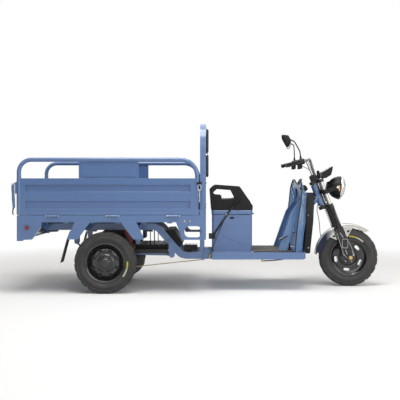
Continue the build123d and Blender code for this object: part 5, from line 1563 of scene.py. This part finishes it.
def press_line(piece, start, end, depth, width, inward):
    """Presses a sewn channel into a stuffed piece along a line, in metres."""
    start, end, inward = Vector(start), Vector(end), Vector(inward)
    run = end - start
    for vert in piece.data.vertices:
        along = max(0.0, min(1.0, (vert.co - start).dot(run) / run.length_squared))
        off = vert.co - (start + run * along)
        off -= inward * off.dot(inward)
        gap = off.length / width
        if gap < 1.0:
            vert.co += inward * depth * (1 - gap * gap) ** 2


def on_skin(piece, points, lift):
    """Points moved onto the surface of a piece, and lifted off it by a little, in metres."""
    tree = BVHTree.FromPolygons([v.co for v in piece.data.vertices],
                                [p.vertices for p in piece.data.polygons])
    found = []
    for point in points:
        at, normal, _, _ = tree.find_nearest(point)
        found.append(at + normal * lift)
    return found


def piping(name, piece, outline, body):
    """A round cord sewn into an edge, along the surface of a stuffed piece."""
    bm = bmesh.new()
    tube(bm, [p * 1000 for p in on_skin(piece, outline, 0.0008)], PIPE_R, 8, closed=True)
    return keep(name, bm, "pad_vinyl", body)


def stitch_drawing():
    """One stitch: a short plump thread along Z."""
    bm = bmesh.new()
    lathe(bm, [(0, -2.6), (0.55, -1.8), (0.7, 0), (0.55, 1.8), (0, 2.6)], (0, 0, 0), (0, 0, 1), 6)
    return bm


def stitches(name, piece, lines, body):
    """Rows of stitches along lines on a stuffed piece."""
    bm = bmesh.new()
    for line in lines:
        path = [p * 1000 for p in on_skin(piece, line, 0.0004)]
        grow(ALONG, path_mesh(path), stitch_drawing(), bm, Step=6.5)
    return keep(name, bm, "pad_vinyl", body, finish_with=THREAD)


THREAD = finish("grey_thread", rgba(0.09, 0.09, 0.095), rgba(0.2, 0.2, 0.2), rough=0.7)


def line_of(start, end, count=24):
    """Evenly spaced points between two places, in metres."""
    start, end = Vector(start), Vector(end)
    return [start.lerp(end, i / count) for i in range(count + 1)]


# %% Seat cushion
CHANNELS = (0.24, 0.42, 0.60, 0.78)
CUSHION_VOXEL, CUSHION_SWELL = 0.006, 0.010
PAD_VOXEL, PAD_SWELL = 0.004, 0.005
PAD_LOWER, PAD_UPPER = (945, 1148), (1155, 1365)
PAD_CHANNELS = (-0.10, 0.0, 0.10)


def seat_cushion():
    """The cushion, with four channels across it, piping round its top and stitches along the channels."""
    low, high = span("seat_cushion")
    bm = bmesh.new()
    pillow_block(bm, low, high, 40, 5)
    cushion = keep("seat_cushion_vinyl", bm, "pad_vinyl", "seat_lid", replaces=("seat_cushion",))
    inflate(cushion, CUSHION_VOXEL, CUSHION_SWELL, low.z / 1000)
    a, b = low / 1000, high / 1000
    lines = []
    for share in CHANNELS:
        x = a.x + (b.x - a.x) * share
        start, end = (x, a.y + 0.045, b.z), (x, b.y - 0.045, b.z)
        press_line(cushion, start, end, 0.007, 0.013, (0, 0, -1))
        lines.append(line_of(start, end))
    outline = [Vector((x, y, high.z - 16)) / 1000 for x, y in
               round_corners([(low.x + 2, low.y + 2), (high.x - 2, low.y + 2), (high.x - 2, high.y - 2),
                              (low.x + 2, high.y - 2)], 42, 12)]
    dense = []
    for p, q in zip(outline, outline[1:] + outline[:1]):
        steps = max(1, int((q - p).length / 0.012))
        dense += [p.lerp(q, i / steps) for i in range(steps)]
    piping("seat_piping", cushion, dense, "seat_lid")
    stitches("seat_stitches", cushion, lines, "seat_lid")
    return cushion


def back_pad(name, low_z, high_z, replaces=()):
    """One backrest pad: drawn lying down, blown up, then stood against the guard."""
    low, high = span("backrest_pads")
    thick = high.x - low.x
    bm = bmesh.new()
    pillow_block(bm, Vector((0, low.y, 0)), Vector((high_z - low_z, high.y, thick)), 30, 2)
    stand = Matrix(((0, 0, 1, low.x), (0, 1, 0, 0), (-1, 0, 0, high_z), (0, 0, 0, 1)))
    pad = keep(name, bm, "pad_vinyl", "bed", spot=stand, replaces=replaces)
    inflate(pad, PAD_VOXEL, PAD_SWELL, low.x / 1000, axis=0)
    x = high.x / 1000
    lines = []
    for y in PAD_CHANNELS:
        start, end = (x, y, low_z / 1000 + 0.03), (x, y, high_z / 1000 - 0.03)
        press_line(pad, start, end, 0.004, 0.010, (-1, 0, 0))
        lines.append(line_of(start, end))
    stitches(name + "_stitches", pad, lines, "bed")
    return pad


cushion = seat_cushion()
pad_low = back_pad("backrest_pad_lower", *PAD_LOWER, ("backrest_pads",))
pad_high = back_pad("backrest_pad_upper", *PAD_UPPER)
print("cushion:", len(cushion.data.polygons), "faces, pads:", len(pad_low.data.polygons),
      len(pad_high.data.polygons))

# %% [markdown]
# ## Two control cables
# Each is a sheathed cable of 6 mm that starts in line with its ferrule and bends no tighter than a hand's
# breadth. It is a NURBS curve of order three whose points are the corners of its route, so its line is
# smooth. The brake cable runs from the left lever to the front brake, and the parking cable from the stud on
# the hand lever to its adjuster.

# %% Cables
BRAKE_ROUTE = [(872, 404, 1072), (926, 370, 1062), (975, 310, 1032), (1002, 240, 1000), (1003, 172, 946),
               (1004, 112, 884), (1040, 54, 805), (1034, 48, 735), (1016, 60, 665), (1037, 64, 588),
               (1046, 68, 514), (1050, 71, 440), (1076, 71, 372), (1135, 70, 328), (1203, 67, 300)]
PARK_ROUTE = [(206, -292, 626), (131, -292, 462), (75, -292, 306)]
CABLE_R = 3


def cable(name, route, body, slot):
    """A sheathed cable as a NURBS curve."""
    curve = bpy.data.curves.new(name, "CURVE")
    curve.dimensions = "3D"
    curve.resolution_u = 24
    curve.bevel_resolution = 4
    spline = curve.splines.new("NURBS")
    spline.points.add(len(route) - 1)
    for point, at in zip(spline.points, route):
        point.co = (at[0] / 1000, at[1] / 1000, at[2] / 1000, 1.0)
    spline.order_u = 3
    spline.use_endpoint_u = True
    piece = put(name, curve)
    line = bpy.data.meshes.new_from_object(piece)
    bpy.data.meshes.remove(line)
    curve.bevel_depth = CABLE_R / 1000
    curve.use_fill_caps = True
    curve.materials.append(FINISHES[slot])
    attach(piece, body)


def ferrule(bm, tip, before, length):
    """A ferrule in line with the end of a cable."""
    tip, before = Vector(tip), Vector(before)
    along = (tip - before).normalized()
    tube(bm, [tip - along * 6, tip + along * length * 0.6], 5.2, 14)
    tube(bm, [tip + along * length * 0.6, tip + along * length], 3.8, 14)


cable("front_brake_cable", BRAKE_ROUTE, "steering", "flap_rubber")
cable("parking_brake_cable", PARK_ROUTE, "chassis", "flap_rubber")
ends = bmesh.new()
ferrule(ends, BRAKE_ROUTE[0], BRAKE_ROUTE[1], 26)
ferrule(ends, BRAKE_ROUTE[-1], BRAKE_ROUTE[-2], 30)
keep("brake_cable_ferrules", ends, "chrome", "steering", SPECIALS["steel"])


def front_brake():
    """The brake plate on the left of the hub with its lever and the lug that holds the cable."""
    bm = bmesh.new()
    lathe(bm, [(0, 0), (60, 0), (66, 3), (66, 7), (0, 8)], (FRONT_HUB.x, 42, FRONT_HUB.z), (0, 1, 0), 64)
    tube(bm, [(FRONT_HUB.x - 54, 48, FRONT_HUB.z + 40), (FRONT_HUB.x - 54, 72, FRONT_HUB.z + 40)], 11, 20)
    outline = round_corners([(FRONT_HUB.x - 66, FRONT_HUB.z + 52), (FRONT_HUB.x - 40, FRONT_HUB.z + 52),
                             (FRONT_HUB.x - 30, FRONT_HUB.z + 30), (FRONT_HUB.x - 62, FRONT_HUB.z + 30)], 5)
    prism(bm, outline, 56, 72)
    keep("front_brake_plate", bm, "black_casting", "steering", bevel=1.2)


def parking_fittings():
    """The stud on the hand lever, the lever's grip, and the adjuster at the foot of the cable."""
    bm = bmesh.new()
    tube(bm, [(206, -298, 634), (206, -262, 634)], 5, 14)
    foot, before = Vector(PARK_ROUTE[2]), Vector(PARK_ROUTE[1])
    along = (foot - before).normalized()
    tube(bm, [foot, foot + along * 43], 5.5, 14)
    low = foot + along * 43
    tube(bm, [(low.x + 8, -292, low.z + 20), (low.x + 8, -278, low.z + 20)], 5, 14)
    disc(bm, 8.5, 8, foot + along * 12, along, 6)
    disc(bm, 8.5, 8, foot + along * 24, along, 6)
    keep("cable_adjuster", bm, "zinc", "chassis", SPECIALS["brass"])
    grip = bmesh.new()
    end = Vector((322, -262, 764))
    back = (Vector((240, -262, 668)) - end).normalized()
    tube(grip, [end - back * 4, end + back * 86], 11.5, 20)
    grow(ALONG, path_mesh([end + back * 6, end + back * 80]), rib_drawing(11, 12.6, 1.4), grip, Step=5.0)
    keep("hand_lever_grip", grip, "black_plastic", "chassis")


front_brake()
parking_fittings()
print("cables and brakes made")

# %% [markdown]
# ## Rear wheels
# The rear wheels are pressed and welded: a deep gloss-black rim with a stepped flange, and a dished disc
# with round windows that look onto a dark brake drum. Five nuts sit round the cap.

# %% Rear wheels
REAR_HUB_X, REAR_HUB_Z, REAR_Y = -779, 250, 438
AXLE = ((0, 0, 0), (0, 1, 0))


def hoop(bm, radius, along, steps, thick, sides, centre=(0, 0)):
    """A raised ring round the axle, or round a centre beside it."""
    ring = [wheel_point(radius, a * 2 * pi / steps, along, centre) for a in range(steps)]
    tube(bm, ring, thick, sides, closed=True)


def rear_wheel(side_name, side, body):
    """Rim, disc, windows, ribs and drum of one rear wheel, drawn with Y as the axle and 0 at mid width."""
    spot = Matrix.Translation((REAR_HUB_X, side * REAR_Y, REAR_HUB_Z)) @ Matrix.Scale(side, 4, (0, 1, 0))
    shell = bmesh.new()
    barrel = rounded([(166, 47), (160, 46), (157, 40), (150, 34), (147, 18), (137, 8), (135, -14), (150, -30),
                      (158, -40), (163, -46), (158, -46), (152, -36), (144, -28), (131, -14), (131, 4),
                      (142, 14), (144, 34), (150, 42), (158, 45)], 2.5, 3)
    lathe(shell, barrel, *AXLE, 96, closed=True)
    hoop(shell, 162, 44.5, 96, 2.6, 8)
    hoop(shell, 146, 25, 96, 2.6, 8)
    keep("rear_rim_" + side_name + "_barrel", shell, "black_steel", body, spot=spot,
         replaces=("rear_rim_" + side_name,))
    web = bmesh.new()
    profile = rounded([(134, 2), (126, 6), (112, 22), (98, 30), (82, 32), (70, 30), (64, 36), (44, 37),
                       (40, 42), (0, 42), (0, 20), (70, 18), (84, 26), (98, 24), (108, 16), (122, 0),
                       (134, -4)], 3, 3)
    lathe(web, profile, *AXLE, 96)
    piece = keep("rear_disc_" + side_name, web, "black_steel", body, spot=spot)
    cutter = bmesh.new()
    for i in range(8):
        centre = wheel_point(100, radians(22.5 + 45 * i), side * (REAR_Y - 10), (REAR_HUB_X, REAR_HUB_Z))
        disc(cutter, 14.5, 70, centre, (0, side, 0), 28)
    cut_away(piece, cutter)
    lips = bmesh.new()
    for i in range(8):
        centre = wheel_point(100, radians(22.5 + 45 * i), 0)
        hoop(lips, 15.5, 29.5, 32, 2.4, 8, (centre.x, centre.z))
    for i in range(8):
        rib = ((84, 33), (96, 31.5), (108, 25.5), (116, 18))
        tube(lips, [wheel_point(radius, radians(45 * i), along) for radius, along in rib], 4.5, 10)
    hoop(lips, 56, 38, 64, 3.2, 10)
    lathe(lips, rounded([(0, 42), (30, 42), (33, 47), (26, 52), (0, 52)], 2, 3), *AXLE, 48)
    keep("rear_pressings_" + side_name, lips, "black_steel", body, spot=spot)
    drum = bmesh.new()
    lathe(drum, rounded([(0, 14), (104, 14), (122, 2), (122, -22), (118, -26), (0, -26)], 3, 3), *AXLE, 72)
    for along in (-4, -10, -16):
        lathe(drum, [(121, along), (125, along - 1), (125, along - 3), (121, along - 4)], *AXLE, 72)
    keep("rear_drum_" + side_name, drum, "black_casting", body, spot=spot)
    nuts = [(wheel_point(72, radians(a), side * (REAR_Y + 31), (REAR_HUB_X, REAR_HUB_Z)), (0, side, 0))
            for a in range(54, 414, 72)]
    bolts("rear_nuts_" + side_name, nuts, 6.5, body, finish_with=FINISHES["black_steel"])


rear_wheel("right", -1, "rear_wheel_right")
rear_wheel("left", 1, "rear_wheel_left")
print("rear wheels made")

# %% [markdown]
# ## Bed fittings
# The drop sides turn on barrel hinges and are held by over-centre latches at their corners. Gold-plated
# bolts hold the front brackets.

# %% Hinges and latches
HINGE_X = (-1197, -712, -223)
HINGE_Y, HINGE_Z = 514, 630


def hinges():
    """Barrel hinges on the drop sides: three knuckles on a gold pin with a head."""
    for side, word in WORD.items():
        barrels = bmesh.new()
        pins = bmesh.new()
        for x in HINGE_X:
            for start, end in ((-46, -16), (-15, 15), (16, 46)):
                tube(barrels, [(x + start, side * HINGE_Y, HINGE_Z), (x + end, side * HINGE_Y, HINGE_Z)], 7,
                     20)
            tube(pins, [(x - 52, side * HINGE_Y, HINGE_Z), (x + 52, side * HINGE_Y, HINGE_Z)], 4.6, 14)
            lathe(pins, [(0, 0), (6.5, 0), (6.5, 4), (0, 5)], (x - 50, side * HINGE_Y, HINGE_Z), (-1, 0, 0),
                  16)
        keep("hinge_barrels_" + word, barrels, "zinc", "bed", SPECIALS["bright_hinge"], bevel=1)
        keep("hinge_pins_" + word, pins, "zinc", "bed", SPECIALS["gold"])


hinges()

# %% Bolts and latches
SKIRT_BOLTS = (-135, -92)
SKIRT_FACE, SKIRT_BOLT_Z = 501, 588
BOARD_BOLTS = (1340, 1120, 900, 700)
BOARD_BOLT_PLACE = Vector((37, 508))
LATCH_Y = 516


def bed_bolts():
    """Gold bolts on the skirts, and steel ones down the headboard's edges."""
    gold = [((x, side * SKIRT_FACE, SKIRT_BOLT_Z), (0, side, 0)) for side in WORD for x in SKIRT_BOLTS]
    bolts("bed_gold_bolts", gold, 4.5, "bed", finish_with=SPECIALS["gold"])
    heads = [((BOARD_BOLT_PLACE.x, side * BOARD_BOLT_PLACE.y, z),
              (1, 0, 0)) for side in WORD for z in BOARD_BOLTS]
    bolts("headboard_bolts", heads, 6, "bed", finish_with=SPECIALS["steel"])


def latches():
    """Over-centre latches: a blue lever and a silver hook at the rear, a black-capped ring in front."""
    for side, word in WORD.items():
        y = side * LATCH_Y
        hook = bmesh.new()
        tube(hook, [(-1529, y, 884), (-1514, y, 898), (-1500, y, 880), (-1500, y, 780)], 4.2, 12)
        tube(hook, [(-28, y, 872), (-10, y, 884), (-2, y, 868), (-4, y, 842), (-24, y, 836), (-30, y, 856)],
             4, 12, closed=True)
        tube(hook, [(-16, y, 836), (-16, y, 742)], 4, 12)
        keep("latch_hooks_" + word, hook, "zinc", "side_board_" + word, SPECIALS["steel"])
        lever = bmesh.new()
        prism(lever, round_corners([(-1522, 884), (-1504, 884), (-1498, 700), (-1512, 690)], 5), y - 4, y + 4)
        keep("latch_lever_" + word, lever, "blue_paint", "side_board_" + word, bevel=1.5)
        grip = bmesh.new()
        tube(grip, [(-1512, y, 700), (-1516, y, 660), (-1512, y, 640)], 4.8, 14)
        tube(grip, [(-16, y, 742), (-16, y, 690)], 4.8, 14)
        cap = round_corners([(-36, 888), (4, 888), (4, 902), (-36, 902)], 5)
        prism(grip, cap, *sorted((y - side * 5, y + side * 4)))
        keep("latch_grips_" + word, grip, "black_plastic", "side_board_" + word, bevel=1.5)


bed_bolts()
latches()

# %% [markdown]
# ## The studio
# The floor and the surroundings are white. The floor is a real surface near the machine, so that it takes
# the soft shadow, and turns into plain white light further out. Big, dim lamps keep the shadows soft, and
# polished metal sees a room that is white above and greyer at the sides.

# %% Floor, surroundings and lamps
FLOOR_HALF = 60.0
FADE_FROM, FADE_TO = 2.1, 4.4
ROOM_LOW, ROOM_HIGH = 0.12, 1.8
AMBIENT = 0.36


def studio_floor():
    """A wide floor that takes the shadow near the machine and is plain white beyond."""
    half = FLOOR_HALF
    mesh = bpy.data.meshes.new("floor")
    mesh.from_pydata([(-half, -half, 0), (half, -half, 0), (half, half, 0), (-half, half, 0)], [],
                     [(0, 1, 2, 3)])
    floor = put("floor", mesh)
    material, tree, shader = new_material("studio_floor")
    shader.inputs["Base Color"].default_value = rgba(0.95, 0.945, 0.935)
    shader.inputs["Roughness"].default_value = 0.9
    shader.inputs["Specular IOR Level"].default_value = 0.1
    where = object_place(tree)
    distance = place(tree, "VectorMath", {0: where}, operation="LENGTH").outputs["Value"]
    far = place(tree, "MapRange", {"Value": distance, "From Min": FADE_FROM, "From Max": FADE_TO}).outputs[0]
    light = place(tree, "Emission", {"Color": rgba(1, 1, 1), "Strength": 1.0})
    path = place(tree, "LightPath").outputs
    seen = math_node(tree, "MAXIMUM", path["Is Camera Ray"], path["Is Glossy Ray"])
    mix = place(tree, "MixShader", {0: math_node(tree, "MULTIPLY", far, seen), 1: shader.outputs[0],
                                    2: light.outputs[0]})
    tree.links.new(mix.outputs[0], tree.nodes["Material Output"].inputs[0])
    mesh.materials.append(material)


def studio_world():
    """White for the eye, and a softer grey as a source of light."""
    world = bpy.data.worlds.new("studio")
    bpy.context.scene.world = world
    world.use_nodes = True
    tree = world.node_tree
    tree.nodes.clear()
    path = place(tree, "LightPath").outputs
    ambient = place(tree, "Background", {"Color": rgba(1.0, 0.98, 0.95), "Strength": AMBIENT})
    up = place(tree, "SeparateXYZ", {"Vector": place(tree, "TexCoord").outputs["Generated"]}).outputs["Z"]
    band = place(tree, "MapRange", {"Value": up, "From Min": -0.05, "From Max": 0.75, "To Min": ROOM_LOW,
                                    "To Max": ROOM_HIGH})
    room = place(tree, "Background", {"Color": rgba(1, 1, 1), "Strength": band.outputs[0]})
    white = place(tree, "Background", {"Color": rgba(1, 1, 1), "Strength": 1.0})
    first = place(tree, "MixShader", {0: path["Is Glossy Ray"], 1: ambient.outputs[0], 2: room.outputs[0]})
    seen = math_node(tree, "MAXIMUM", path["Is Camera Ray"], path["Is Transmission Ray"])
    last = place(tree, "MixShader", {0: seen, 1: first.outputs[0], 2: white.outputs[0]})
    out = place(tree, "OutputWorld")
    tree.links.new(last.outputs[0], out.inputs[0])


def softbox(name, where, target, size, power):
    """A large square lamp that points at a target."""
    data = bpy.data.lights.new(name, "AREA")
    data.shape = "SQUARE"
    data.size = size
    data.energy = power
    lamp = put(name, data)
    lamp.location = where
    lamp.rotation_euler = (Vector(target) - Vector(where)).to_track_quat("-Z", "Y").to_euler()


studio_floor()
studio_world()
MIDDLE = (0.0, 0.0, 0.6)
LAMPS = (("top_light", (-0.1, -1.5, 5.0), 3.0, 175), ("side_light", (1.4, -4.8, 2.0), 3.0, 52),
         ("front_light", (4.4, -2.4, 1.8), 2.4, 62), ("far_light", (0.5, 5.0, 2.4), 3.0, 14))
for name, where, size, power in LAMPS:
    softbox(name, where, MIDDLE, size, power)
bpy.context.scene.view_settings.view_transform = "Standard"
